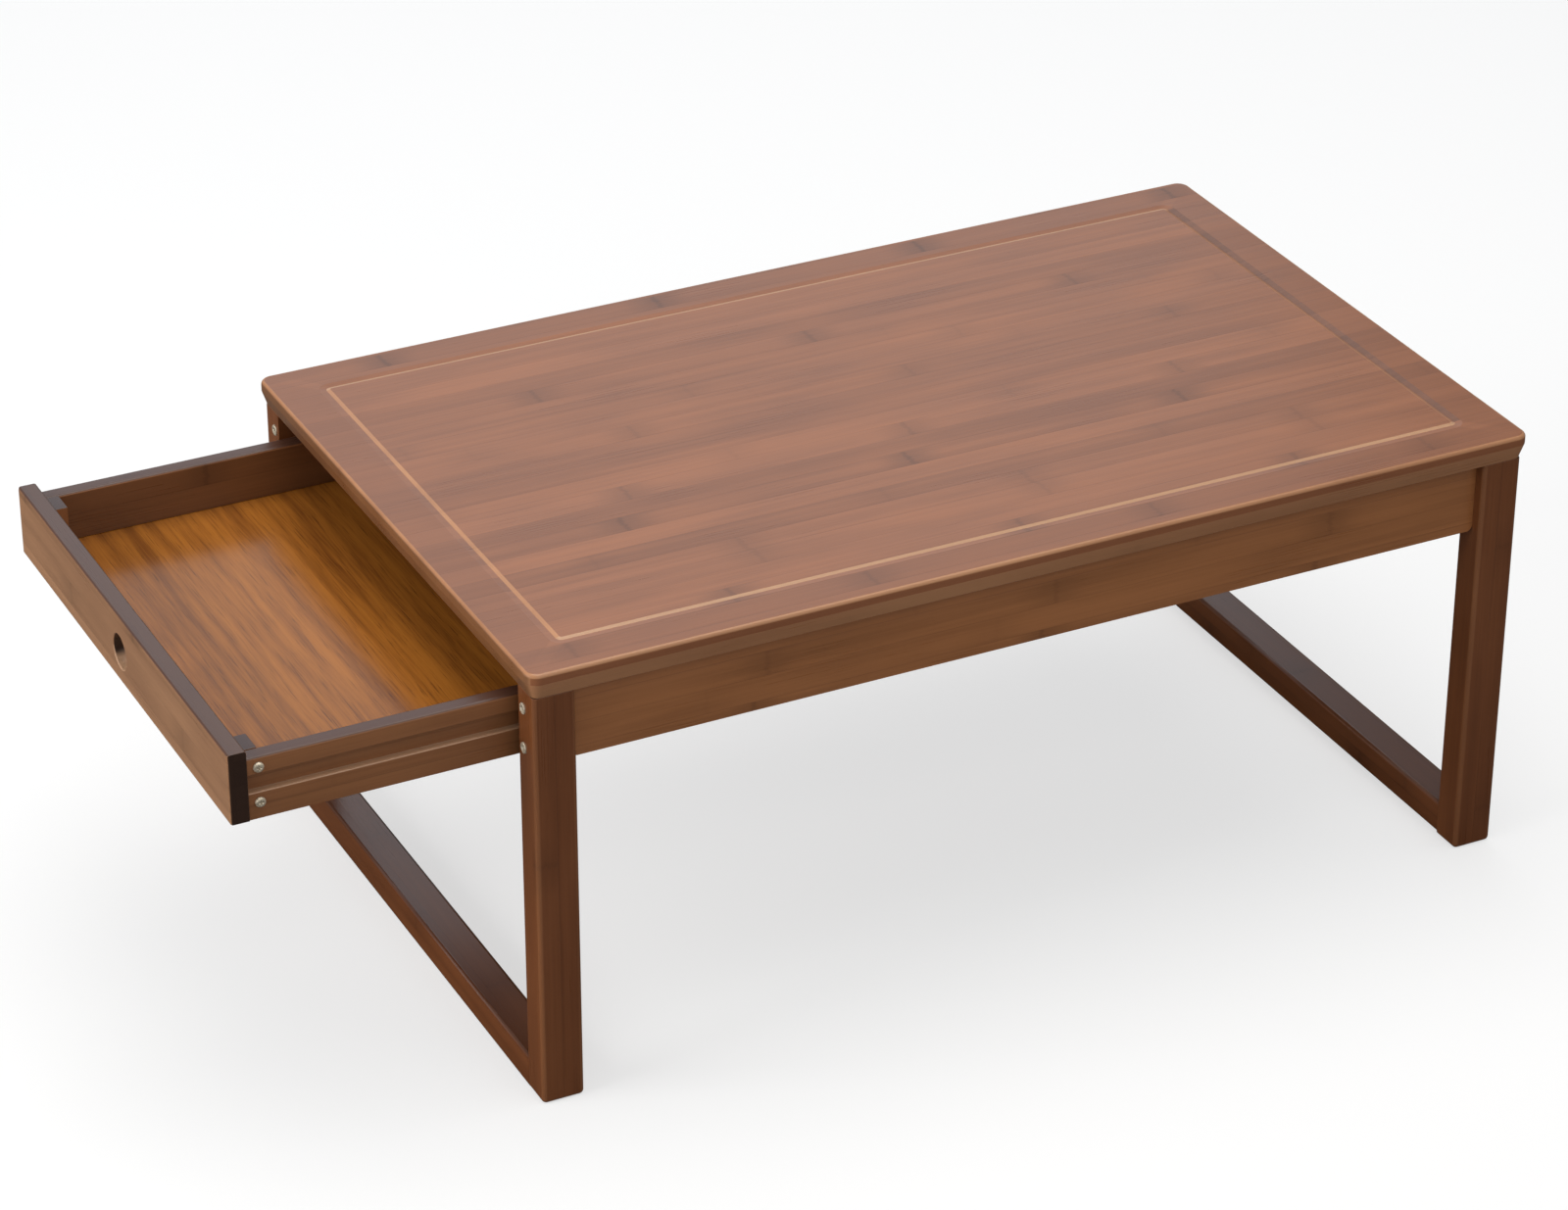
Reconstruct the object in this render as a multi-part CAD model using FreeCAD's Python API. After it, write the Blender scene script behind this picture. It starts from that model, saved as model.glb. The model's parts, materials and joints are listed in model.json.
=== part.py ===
import FreeCAD, Part
import os
from FreeCAD import Vector

# Low table with one drawer in its left end, drawn partly out.
# Millimetres. Z is up from the floor, X runs along the table to the right, the front is -Y.
# The origin lies on the floor, midway between the drawn-out drawer front and the right edge.

# Tabletop
table_height = 350.0
top_length = 800.0
top_width = 500.0
top_thick = 20.0
top_corner_r = 10.0
top_arris_r = 3.0
top_nose_height = 8.0
top_overhang = 4.0

# Routed line on the tabletop
line_inset = 33.5
line_slope = 5.0
line_depth = 0.7
line_floor = 0.4
line_rise = 2.6
line_corner_r = 5.0

# Legs
leg_width = 32.0
leg_depth = 25.0
leg_round = 3.5

# Foot rails, with a stub tenon at each end
rail_width = 30.0
rail_height = 26.0
rail_round = 3.0
tenon_length = 12.0
tenon_shoulder = 8.0
tenon_play = 0.1

# Aprons, flush with the inner faces of the legs
apron_thick = 15.0
apron_height = 58.0
apron_ease = 2.0
apron_corner_r = 5.0
end_tenon_thick = 5.0

# Bolts through the legs into the ends of the long aprons
bolt_r = 3.0
bolt_reach = 34.0
bolt_head_r = 4.2
bolt_head_height = 3.4
bolt_head_proud = 0.8
bolt_socket_r = 2.2
bolt_socket_depth = 1.8
socket_sides = 6
bolt_low_rise = 11.5
bolt_spacing = 31.0
bolt_play = 0.3
bolt_margin = 3.0
barrel_r = 5.0
barrel_cover = 1.5
barrel_from_end = 26.0

# Cleats and battens under the tabletop
cleat_width = 18.0
cleat_height = 12.0
batten_width = 30.0
batten_height = 12.0
rear_batten_share = 0.75
cleat_screw_shares = (0.08, 0.36, 0.64, 0.92)
batten_screw_shares = (0.12, 0.5, 0.88)

# Drawer box
drawer_length = 400.0
drawer_out = 206.0
drawer_more = 64.0
stop_gap = 0.3
front_side_gap = 9.0
front_height = 54.5
front_thick = 14.0
front_top_gap = 7.0
front_round = 2.0
side_thick = 12.5
side_inset = 1.0
side_drop = 7.0
side_round = 2.0
back_thick = 12.0
floor_thick = 4.0
floor_rise = 5.0
floor_groove_depth = 5.0
floor_play = 0.2
corner_block_length = 12.0
corner_block_width = 20.0

# Finger hole in the drawer front
finger_hole_r = 13.0
finger_hole_rise = 25.0
finger_hole_lip = 1.2

# Runner grooves in the drawer sides, and the runners that fill them
groove_from_top = 13.0
groove_height = 14.0
groove_depth = 5.5
runner_top_gap = 0.3
runner_low_gap = 0.7
runner_tip_gap = 1.0
runner_screw_shares = (0.12, 0.5, 0.88)

# Catch on the drawer back, which meets the stop batten
catch_length = 10.0
catch_width = 60.0
catch_rise = 9.0
catch_drop = 25.0
catch_screw_spacing = 36.0

# Wood screws
screw_r = 1.8
screw_play = 0.1
screw_slot = 1.0
screw_slot_length = 3.8
screw_slot_depth = 1.2
pan_head_r = 3.8
pan_head_height = 2.4
pan_head_round = 1.6
flat_head_r = 3.6
flat_head_height = 2.2
screw_point = 2.2
screw_tip_r = 0.45
side_screw_reach = 15.0
side_screw_rises = (13.0, 40.0)
side_screw_setback = 8.0
runner_screw_reach = 11.0
top_screw_reach = 12.0
catch_screw_reach = 9.0

# How far a cutting shape runs past the surface that it cuts, how near counts as the same place,
# and a full turn in degrees
overrun = 2.0
near = 0.001
full_turn = 360.0

# Places that follow from the sizes
table_x = (drawer_out - top_overhang) / 2
top_low = table_height - top_thick
half_length = top_length / 2
half_width = top_width / 2
leg_out_x = half_length - top_overhang
leg_in_x = leg_out_x - leg_width
leg_out_y = half_width - top_overhang
leg_in_y = leg_out_y - leg_depth
apron_low = top_low - apron_height
apron_mid_y = leg_in_y + apron_thick / 2
cleat_in_y = leg_in_y - cleat_width
cleat_low = top_low - cleat_height
batten_low = top_low - batten_height
drawer_closed_x = table_x - leg_out_x
drawer_x = drawer_closed_x - drawer_out
front_in_x = drawer_x + front_thick
drawer_end_x = drawer_x + drawer_length
back_in_x = drawer_end_x - back_thick
front_half = leg_in_y - front_side_gap
front_top = top_low - front_top_gap
drawer_low = front_top - front_height
side_top = front_top - side_drop
side_out_y = front_half - side_inset
side_in_y = side_out_y - side_thick
floor_low = drawer_low + floor_rise
floor_top = floor_low + floor_thick
groove_top = side_top - groove_from_top
groove_low = groove_top - groove_height
groove_in_y = side_out_y - groove_depth
runner_tip_y = groove_in_y + runner_tip_gap
runner_front_x = drawer_closed_x + front_thick + stop_gap
runner_rear_x = drawer_closed_x + drawer_length
stop_x = drawer_end_x - drawer_more - stop_gap
side_screw_xs = (front_in_x + side_screw_setback, drawer_end_x - back_thick / 2)

AXIS_X = Vector(1, 0, 0)
AXIS_Y = Vector(0, 1, 0)
AXIS_Z = Vector(0, 0, 1)
END_SIGNS = {"left": -1, "right": 1}
SIDE_SIGNS = {"front": -1, "back": 1}


def block(xs, ys, zs):
    """A box between pairs of places, given in any order."""
    low = Vector(min(xs), min(ys), min(zs))
    return Part.makeBox(max(xs) - low.x, max(ys) - low.y, max(zs) - low.z, low)


def along(box, axis):
    """True where an edge's box has length along that axis alone."""
    lengths = {"X": box.XLength, "Y": box.YLength, "Z": box.ZLength}
    others = [size for name, size in lengths.items() if name != axis]
    return max(others) < near < lengths[axis]


def same(a, b):
    """True where two places are one."""
    return abs(a - b) < near


def rounded(shape, radius, wanted):
    """The shape with a fillet on each edge whose box passes the test."""
    edges = [edge for edge in shape.Edges if wanted(edge.BoundBox)]
    return shape.makeFillet(radius, edges)


def rod(radius, start, direction, length):
    """A round bar from a point along a direction."""
    return Part.makeCylinder(radius, length, start, direction)


def rectangle_wire(half_x, half_y, corner_r, z):
    """A rectangle with round corners, centred on the table at one height."""
    plate = block((table_x - half_x, table_x + half_x), (-half_y, half_y), (z, z + overrun))
    plate = rounded(plate, corner_r, lambda box: along(box, "Z"))
    flat = [face for face in plate.Faces if same(face.BoundBox.ZMax, z)]
    return flat[0].OuterWire


def tapered_plate(low_inset, low_z, high_inset, high_z, corner_r):
    """A plate between two rectangles that are set in from the tabletop's outline."""
    wires = []
    for inset, z in ((low_inset, low_z), (high_inset, high_z)):
        wires.append(rectangle_wire(half_length - inset, half_width - inset, corner_r, z))
    return Part.makeLoft(wires, True, True)


def pan_screw(start, side, length):
    """A cross-slot pan-head screw: its head stands on the start point, its shank points inwards."""
    inward = AXIS_Y * -side
    crown = start - inward * pan_head_height
    head = rod(pan_head_r, crown, inward, pan_head_height)
    outer = [edge for edge in head.Edges if (edge.CenterOfMass - crown).Length < near]
    head = head.makeFillet(pan_head_round, outer)
    ys = (crown.y + side * overrun, crown.y - side * screw_slot_depth)
    long_half = screw_slot_length / 2
    short_half = screw_slot / 2
    for half_x, half_z in ((long_half, short_half), (short_half, long_half)):
        slot = block((start.x - half_x, start.x + half_x), ys, (start.z - half_z, start.z + half_z))
        head = head.cut(slot)
    return head.fuse(shank(start, inward, length)).removeSplitter()


def flat_screw(start, direction, length):
    """A countersunk screw whose head lies flush at the start point."""
    head = Part.makeCone(flat_head_r, screw_r, flat_head_height, start, direction)
    return head.fuse(shank(start, direction, length)).removeSplitter()


def shank(start, direction, length):
    """A screw's round shank with a point."""
    plain = length - screw_point
    body = rod(screw_r, start, direction, plain)
    tip = Part.makeCone(screw_r, screw_tip_r, screw_point, start + direction * plain, direction)
    return body.fuse(tip)


def screw_hole(start, direction, length):
    """The hole that a screw's shank needs."""
    return rod(screw_r + screw_play, start, direction, length + screw_play)


def sink(start, direction):
    """The countersunk seat of a flat screw head."""
    radius = flat_head_r + screw_play
    return Part.makeCone(radius, screw_r + screw_play, flat_head_height, start, direction)


def cut_all(shape, cutters):
    """The shape less every cutter."""
    for cutter in cutters:
        shape = shape.cut(cutter)
    return shape


def shares_between(low, high, shares):
    """Places at the given shares of a stretch."""
    return [low + (high - low) * share for share in shares]


def top_screw_places():
    """Where the screws go up into the tabletop: x, y and the height of the head."""
    places = []
    for x in shares_between(table_x - leg_in_x, table_x + leg_in_x, cleat_screw_shares):
        for sign in SIDE_SIGNS.values():
            places.append((x, sign * (cleat_in_y + cleat_width / 2), cleat_low))
    for x in batten_xs():
        for y in shares_between(-cleat_in_y, cleat_in_y, batten_screw_shares):
            places.append((x, y, batten_low))
    return places


def batten_xs():
    """The middles of the stop batten and the rear batten."""
    rear_x = table_x - leg_in_x + rear_batten_share * 2 * leg_in_x
    return (stop_x - batten_width / 2, rear_x)


def bolt_places():
    """Each leg bolt: end sign, side sign and height."""
    heights = (apron_low + bolt_low_rise, apron_low + bolt_low_rise + bolt_spacing)
    return [(end, side, z) for end in END_SIGNS.values() for side in SIDE_SIGNS.values() for z in heights]


def side_screw_places(sign):
    """The outer ends of the screws in one drawer side."""
    return [
        Vector(x, sign * side_out_y, drawer_low + rise)
        for x in side_screw_xs
        for rise in side_screw_rises
    ]


def make_tabletop():
    """A board with a rounded arris, a short upright edge and an underside that slopes in to the legs."""
    nose_low = table_height - top_nose_height
    upper = Part.Face(rectangle_wire(half_length, half_width, top_corner_r, nose_low))
    upper = upper.extrude(AXIS_Z * top_nose_height)
    upper = rounded(upper, top_arris_r, lambda box: same(box.ZMin, table_height))
    lower = tapered_plate(top_overhang, top_low, 0, nose_low, top_corner_r)
    board = upper.fuse(lower).removeSplitter()
    return cut_all(board, [routed_line()] + top_screw_holes())


def routed_line():
    """The line's cutter: a gentle slope on its outer side, a narrow floor and a shorter inner slope."""
    low = table_height - line_depth
    high = table_height + overrun
    lengthening = (line_depth + overrun) / line_depth
    outer_foot = line_inset + line_slope
    inner_foot = outer_foot + line_floor
    ring = tapered_plate(outer_foot, low, outer_foot - line_slope * lengthening, high, line_corner_r)
    return ring.cut(tapered_plate(inner_foot, low, inner_foot + line_rise * lengthening, high, line_corner_r))


def top_screw_holes():
    """Holes in the tabletop for the screws from below."""
    holes = []
    for x, y, z in top_screw_places():
        holes.append(screw_hole(Vector(x, y, z), AXIS_Z, top_low - z + top_screw_reach))
    return holes


def make_leg(end, side):
    """A straight leg with bolt holes, and mortises for the rail and, on the right, the end apron."""
    xs = (table_x + end * leg_in_x, table_x + end * leg_out_x)
    y_out = side * leg_out_y
    leg = block(xs, (side * leg_in_y, y_out), (0, top_low))

    def outer_edge(box):
        on_front = same(box.YMin, y_out) and same(box.YMax, y_out)
        upright = along(box, "Z") and on_front
        foot = same(box.ZMax, 0) and (on_front or along(box, "Y"))
        return upright or foot

    leg = rounded(leg, leg_round, outer_edge)
    cutters = [mortise(rail_tenon(end, side))]
    if end == END_SIGNS["right"]:
        cutters.append(mortise(end_apron_tenon(side)))
    for bolt_end, bolt_side, z in bolt_places():
        if (bolt_end, bolt_side) == (end, side):
            cutters.extend(bolt_hole(end, side, z))
    return cut_all(leg, cutters)


def bolt_hole(end, side, z):
    """A leg's hole for one bolt and the seat of its head."""
    face = Vector(table_x + end * leg_out_x, side * apron_mid_y, z)
    inward = AXIS_X * -end
    seat_depth = bolt_head_height - bolt_head_proud
    seat = rod(bolt_head_r + bolt_play, face - inward * overrun, inward, seat_depth + overrun)
    hole = rod(bolt_r + bolt_play, face, inward, leg_width + overrun)
    return [seat, hole]


def rail_x(end):
    """The two long faces of a foot rail, the outer one flush with its legs."""
    outer = table_x + end * leg_out_x
    return (outer - end * rail_width, outer)


def rail_tenon(end, side):
    """The places of a rail's tenon, from its shoulder outwards."""
    xs = sorted(rail_x(end))
    return (
        (xs[0] + tenon_shoulder, xs[1] - tenon_shoulder),
        (side * leg_in_y, side * (leg_in_y + tenon_length)),
        (tenon_shoulder, rail_height - tenon_shoulder),
    )


def end_apron_tenon(side):
    """The places of the end apron's tenon, between the two bolts of its leg."""
    middle = table_x + leg_in_x + apron_thick / 2
    clear = bolt_r + bolt_margin
    low_bolt = apron_low + bolt_low_rise
    return (
        (middle - end_tenon_thick / 2, middle + end_tenon_thick / 2),
        (side * leg_in_y, side * (leg_in_y + tenon_length)),
        (low_bolt + clear, low_bolt + bolt_spacing - clear),
    )


def mortise(places):
    """The pocket that takes a tenon, a little larger than it all round."""
    xs, ys, zs = places
    side = 1 if ys[1] > 0 else -1
    return block(
        (min(xs) - tenon_play, max(xs) + tenon_play),
        (ys[0] - side * overrun, ys[1] + side * tenon_play),
        (min(zs) - tenon_play, max(zs) + tenon_play),
    )


def make_foot_rail(end):
    """A rail along the floor between two legs, with its long edges eased and a tenon at each end."""
    rail = block(rail_x(end), (-leg_in_y, leg_in_y), (0, rail_height))
    rail = rounded(rail, rail_round, lambda box: along(box, "Y"))
    for side in SIDE_SIGNS.values():
        rail = rail.fuse(block(*rail_tenon(end, side)))
    return rail.removeSplitter()


def make_long_apron(side):
    """A deep board along one long side, with its lower corners rounded and holes for bolts and nuts."""
    xs = (table_x - leg_in_x, table_x + leg_in_x)
    ys = (side * leg_in_y, side * (leg_in_y + apron_thick))
    apron = block(xs, ys, (apron_low, top_low))
    apron = rounded(apron, apron_corner_r, lambda box: same(box.ZMax, apron_low) and along(box, "Y"))
    apron = rounded(apron, apron_ease, lambda box: same(box.ZMax, apron_low) and along(box, "X"))
    cutters = []
    for end, bolt_side, z in bolt_places():
        if bolt_side != side:
            continue
        face = Vector(table_x + end * leg_in_x, side * apron_mid_y, z)
        cutters.append(rod(bolt_r + bolt_play, face, AXIS_X * -end, bolt_reach + bolt_play))
        nut = barrel_start(end, side, z) - AXIS_Y * side * overrun
        reach = apron_thick - barrel_cover + overrun
        cutters.append(rod(barrel_r + bolt_play, nut, AXIS_Y * side, reach))
    for place in runner_screw_places(side):
        cutters.append(screw_hole(place, AXIS_Y * side, runner_screw_length()))
    return cut_all(apron, cutters)


def barrel_start(end, side, z):
    """The inner end of a barrel nut, on the apron's inner face."""
    return Vector(table_x + end * (leg_in_x - barrel_from_end), side * leg_in_y, z)


def make_end_apron():
    """The board that closes the right end, tenoned into its two legs."""
    xs = (table_x + leg_in_x, table_x + leg_in_x + apron_thick)
    apron = block(xs, (-leg_in_y, leg_in_y), (apron_low, top_low))
    apron = rounded(apron, apron_ease, lambda box: same(box.ZMax, apron_low) and along(box, "Y"))
    for side in SIDE_SIGNS.values():
        apron = apron.fuse(block(*end_apron_tenon(side)))
    return apron.removeSplitter()


def make_bolts(end):
    """The bolts of one end: a low round head with a six-sided socket, and a plain shank."""
    bolts = []
    for bolt_end, side, z in bolt_places():
        if bolt_end != end:
            continue
        inward = AXIS_X * -end
        crown = Vector(table_x + end * (leg_out_x + bolt_head_proud), side * apron_mid_y, z)
        head = rod(bolt_head_r, crown, inward, bolt_head_height)
        edges = [edge for edge in head.Edges if (edge.CenterOfMass - crown).Length < near]
        head = head.makeFillet(bolt_head_proud, edges)
        length = leg_width + bolt_head_proud + bolt_reach
        bolt = head.fuse(rod(bolt_r, crown, inward, length)).removeSplitter()
        bolts.append(bolt.cut(hex_socket(crown, inward)))
    return Part.makeCompound(bolts)


def hex_socket(crown, inward):
    """A six-sided hole in the crown of a bolt."""
    corner = AXIS_Z * bolt_socket_r
    points = []
    for step in range(socket_sides + 1):
        turn = FreeCAD.Rotation(inward, full_turn * step / socket_sides)
        points.append(crown + turn.multVec(corner))
    return Part.Face(Part.makePolygon(points)).extrude(inward * bolt_socket_depth)


def make_barrel_nuts():
    """Round cross nuts in the aprons, each with a hole for its bolt."""
    nuts = []
    for end, side, z in bolt_places():
        start = barrel_start(end, side, z) + AXIS_Y * side * barrel_cover
        nut = rod(barrel_r, start, AXIS_Y * side, apron_thick - 2 * barrel_cover)
        through = Vector(start.x - barrel_r - overrun, side * apron_mid_y, z)
        nuts.append(nut.cut(rod(bolt_r + screw_play, through, AXIS_X, 2 * (barrel_r + overrun))))
    return Part.makeCompound(nuts)


def make_cleat(side):
    """A strip under the top along an apron, with countersunk screw holes."""
    ys = (side * leg_in_y, side * cleat_in_y)
    cleat = block((table_x - leg_in_x, table_x + leg_in_x), ys, (cleat_low, top_low))
    return drilled_for_top(cleat)


def make_batten(x):
    """A strip across the table between the cleats, with countersunk screw holes."""
    xs = (x - batten_width / 2, x + batten_width / 2)
    return drilled_for_top(block(xs, (-cleat_in_y, cleat_in_y), (batten_low, top_low)))


def drilled_for_top(strip):
    """A strip with the holes of the top screws that pass through it."""
    for x, y, z in top_screw_places():
        start = Vector(x, y, z)
        strip = strip.cut(screw_hole(start, AXIS_Z, top_thick)).cut(sink(start, AXIS_Z))
    return strip


def make_top_screws():
    """The screws that hold the tabletop down on its cleats and battens."""
    screws = []
    for x, y, z in top_screw_places():
        screws.append(flat_screw(Vector(x, y, z), AXIS_Z, top_low - z + top_screw_reach))
    return Part.makeCompound(screws)


def runner_screw_places(side):
    """The heads of one runner's screws, in its inner face."""
    z = (groove_top - runner_top_gap + groove_low + runner_low_gap) / 2
    xs = shares_between(table_x - leg_in_x, runner_rear_x, runner_screw_shares)
    return [Vector(x, side * runner_tip_y, z) for x in xs]


def runner_screw_length():
    """From a runner's inner face into the apron behind it."""
    return leg_in_y - runner_tip_y + runner_screw_reach


def make_runner(side):
    """A strip on the leg and apron that fills the drawer's groove and stops the closing drawer front."""
    zs = (groove_low + runner_low_gap, groove_top - runner_top_gap)
    runner = block((runner_front_x, runner_rear_x), (side * leg_in_y, side * runner_tip_y), zs)
    for place in runner_screw_places(side):
        runner = runner.cut(screw_hole(place, AXIS_Y * side, runner_screw_length()))
        runner = runner.cut(sink(place, AXIS_Y * side))
    return runner


def make_runner_screws():
    """The screws that hold both runners to the aprons."""
    screws = []
    for side in SIDE_SIGNS.values():
        for place in runner_screw_places(side):
            screws.append(flat_screw(place, AXIS_Y * side, runner_screw_length()))
    return Part.makeCompound(screws)


def floor_groove(xs, ys):
    """The groove that takes the edge of the drawer's bottom board."""
    return block(xs, ys, (floor_low, floor_top + floor_play))


def make_drawer_front():
    """The drawer's front board with its finger hole and the groove for the bottom board."""
    front = block((drawer_x, front_in_x), (-front_half, front_half), (drawer_low, front_top))

    def shown_edge(box):
        return same(box.XMax, drawer_x) or (same(box.ZMin, front_top) and along(box, "Y"))

    front = rounded(front, front_round, shown_edge)
    centre = Vector(drawer_x - overrun, 0, drawer_low + finger_hole_rise)
    front = front.cut(rod(finger_hole_r, centre, AXIS_X, front_thick + 2 * overrun))

    def lip(box):
        return same(box.YLength, 2 * finger_hole_r) and box.XLength < near

    front = rounded(front, finger_hole_lip, lip)
    xs = (front_in_x - floor_groove_depth, front_in_x + overrun)
    reach = side_in_y + floor_groove_depth
    return front.cut(floor_groove(xs, (-reach, reach)))


def make_drawer_side(side):
    """A drawer side with the runner groove outside and the bottom board's groove inside."""
    xs = (front_in_x, drawer_end_x)
    board = block(xs, (side * side_out_y, side * side_in_y), (drawer_low, side_top))
    board = rounded(board, side_round, lambda box: same(box.ZMin, side_top) and along(box, "X"))
    past = (front_in_x - overrun, drawer_end_x + overrun)
    groove = block(past, (side * groove_in_y, side * (side_out_y + overrun)), (groove_low, groove_top))
    inner = floor_groove(past, (side * (side_in_y - overrun), side * (side_in_y + floor_groove_depth)))
    holes = [
        screw_hole(place, AXIS_Y * -side, side_thick + side_screw_reach)
        for place in side_screw_places(side)
    ]
    return cut_all(board, [groove, inner] + holes)


def make_drawer_back():
    """The drawer's back, which stands on the bottom board between the sides."""
    back = block((back_in_x, drawer_end_x), (-side_in_y, side_in_y), (floor_top, side_top))
    holes = []
    for side in SIDE_SIGNS.values():
        for place in side_screw_places(side):
            holes.append(screw_hole(place, AXIS_Y * -side, side_thick + side_screw_reach))
    for place in catch_screw_places():
        holes.append(screw_hole(place, AXIS_X * -1, catch_length + catch_screw_reach))
    return cut_all(back, holes)


def make_drawer_bottom():
    """The bottom board, which slides into the grooves from behind."""
    reach = side_in_y + floor_groove_depth - floor_play
    xs = (front_in_x - floor_groove_depth + floor_play, drawer_end_x)
    return block(xs, (-reach, reach), (floor_low, floor_top))


def make_corner_block(side):
    """A block in a front corner of the drawer that the side is screwed to."""
    xs = (front_in_x, front_in_x + corner_block_length)
    ys = (side * side_in_y, side * (side_in_y - corner_block_width))
    corner = block(xs, ys, (floor_top, side_top))
    holes = [
        screw_hole(place, AXIS_Y * -side, side_thick + side_screw_reach)
        for place in side_screw_places(side)
    ]
    return cut_all(corner, holes)


def make_drawer_screws():
    """Pan-head screws through the drawer sides into the corner blocks and the back."""
    screws = []
    for side in SIDE_SIGNS.values():
        for place in side_screw_places(side):
            screws.append(pan_screw(place, side, side_thick + side_screw_reach))
    return Part.makeCompound(screws)


def catch_screw_places():
    """The heads of the catch's screws, in its rear face."""
    z = side_top - catch_drop / 2
    x = drawer_end_x + catch_length
    return [Vector(x, sign * catch_screw_spacing / 2, z) for sign in SIDE_SIGNS.values()]


def make_catch():
    """A block on the drawer back that rises above it to meet the stop batten."""
    xs = (drawer_end_x, drawer_end_x + catch_length)
    half = catch_width / 2
    catch = block(xs, (-half, half), (side_top - catch_drop, side_top + catch_rise))
    for place in catch_screw_places():
        catch = catch.cut(screw_hole(place, AXIS_X * -1, catch_length + overrun))
        catch = catch.cut(sink(place, AXIS_X * -1))
    return catch


def make_catch_screws():
    """The screws that hold the catch."""
    length = catch_length + catch_screw_reach
    return Part.makeCompound([flat_screw(place, AXIS_X * -1, length) for place in catch_screw_places()])


def make_nodes():
    """Every piece of the table by name."""
    nodes = {"tabletop": make_tabletop()}
    for end_name, end in END_SIGNS.items():
        for side_name, side in SIDE_SIGNS.items():
            nodes[f"leg_{side_name}_{end_name}"] = make_leg(end, side)
        nodes[f"foot_rail_{end_name}"] = make_foot_rail(end)
        nodes[f"apron_bolts_{end_name}"] = make_bolts(end)
    for side_name, side in SIDE_SIGNS.items():
        nodes[f"apron_{side_name}"] = make_long_apron(side)
        nodes[f"cleat_{side_name}"] = make_cleat(side)
        nodes[f"runner_{side_name}"] = make_runner(side)
        nodes[f"drawer_side_{side_name}"] = make_drawer_side(side)
        nodes[f"drawer_corner_block_{side_name}"] = make_corner_block(side)
    for name, x in zip(("stop_batten", "rear_batten"), batten_xs()):
        nodes[name] = make_batten(x)
    nodes["apron_right"] = make_end_apron()
    nodes["barrel_nuts"] = make_barrel_nuts()
    nodes["top_screws"] = make_top_screws()
    nodes["runner_screws"] = make_runner_screws()
    nodes["drawer_front"] = make_drawer_front()
    nodes["drawer_back"] = make_drawer_back()
    nodes["drawer_bottom"] = make_drawer_bottom()
    nodes["drawer_screws"] = make_drawer_screws()
    nodes["drawer_catch"] = make_catch()
    nodes["catch_screws"] = make_catch_screws()
    return nodes


os.makedirs("parts", exist_ok=True)
for node_name, node_shape in make_nodes().items():
    node_shape.exportStep(f"parts/{node_name}.step")
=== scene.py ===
"""Looks of a low table with one drawer in its left end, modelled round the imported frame."""

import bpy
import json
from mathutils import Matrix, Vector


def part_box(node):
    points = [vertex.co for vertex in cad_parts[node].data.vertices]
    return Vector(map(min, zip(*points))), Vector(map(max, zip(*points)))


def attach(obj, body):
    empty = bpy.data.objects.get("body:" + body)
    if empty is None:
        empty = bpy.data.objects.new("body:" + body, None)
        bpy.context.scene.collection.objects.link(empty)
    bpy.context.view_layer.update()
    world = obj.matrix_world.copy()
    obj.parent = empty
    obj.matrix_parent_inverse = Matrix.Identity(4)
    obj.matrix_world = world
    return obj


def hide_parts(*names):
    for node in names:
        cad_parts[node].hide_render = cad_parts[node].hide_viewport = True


bl_info = {
    "name": "Low table",
    "version": (1, 0, 0),
    "blender": (4, 5, 0),
    "location": "View3D > Sidebar > Low table",
    "description": "Models a low wooden table with one end drawer, its finishes and its stage",
    "category": "Add Mesh",
}

import json
import math
from typing import NamedTuple

import bmesh
import bpy
from bpy.props import FloatProperty, FloatVectorProperty, IntProperty, PointerProperty
from mathutils import Matrix, Vector

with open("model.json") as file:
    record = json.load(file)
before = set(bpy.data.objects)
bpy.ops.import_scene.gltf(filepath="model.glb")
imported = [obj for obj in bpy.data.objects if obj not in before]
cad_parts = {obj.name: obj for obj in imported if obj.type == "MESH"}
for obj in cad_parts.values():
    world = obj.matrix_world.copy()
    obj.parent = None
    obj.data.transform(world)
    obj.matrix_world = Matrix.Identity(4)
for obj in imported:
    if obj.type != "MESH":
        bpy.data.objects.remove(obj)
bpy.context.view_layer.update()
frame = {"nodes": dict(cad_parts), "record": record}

SIDES = {"front": -1, "back": 1}
ENDS = {"left": -1, "right": 1}
AXIS_X = Vector((1, 0, 0))
AXIS_Y = Vector((0, 1, 0))
AXIS_Z = Vector((0, 0, 1))
AXES = {"X": AXIS_X, "Y": AXIS_Y, "Z": AXIS_Z}
# Lengths that count as none, the gap between points that are merged, and the angle of a sharp edge
TINY = 1e-6
MERGE_GAP = 1e-7
SHARP_ANGLE = math.radians(30)
# Cosines of faces that look the same way, and of those that look up at all
SAME_WAY = 0.999
UPWARD = 0.3
# Facets across an edge that is only broken with sandpaper
EASE_STEPS = 2
# Half the square that is cut round a hole, as a share of the hole's radius
CELL_SHARE = 1.25
# A head's recess starts as an inset of this share of the head's edge radius, and then takes its outline
RECESS_START = 0.125
# How bare wood is, and where light and shade are painted: painted shade, handled faces and painted light,
# rubbed edges, and cuts made after staining and painted highlights
SHADED, HANDLED_AND_LIT, RUBBED, FRESH_CUT_AND_HIGHLIGHT = -1.0, 0.75, 1.0, 2.0
# The layers that hold how bare faces and points are, with the light and shade painted on them, and which
# points are in the tabletop's border
EDGE_MARK = "edge_mark"
WEAR_LIGHT_AND_SHADE = "wear_light_and_shade"
BORDER = "border"
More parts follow.
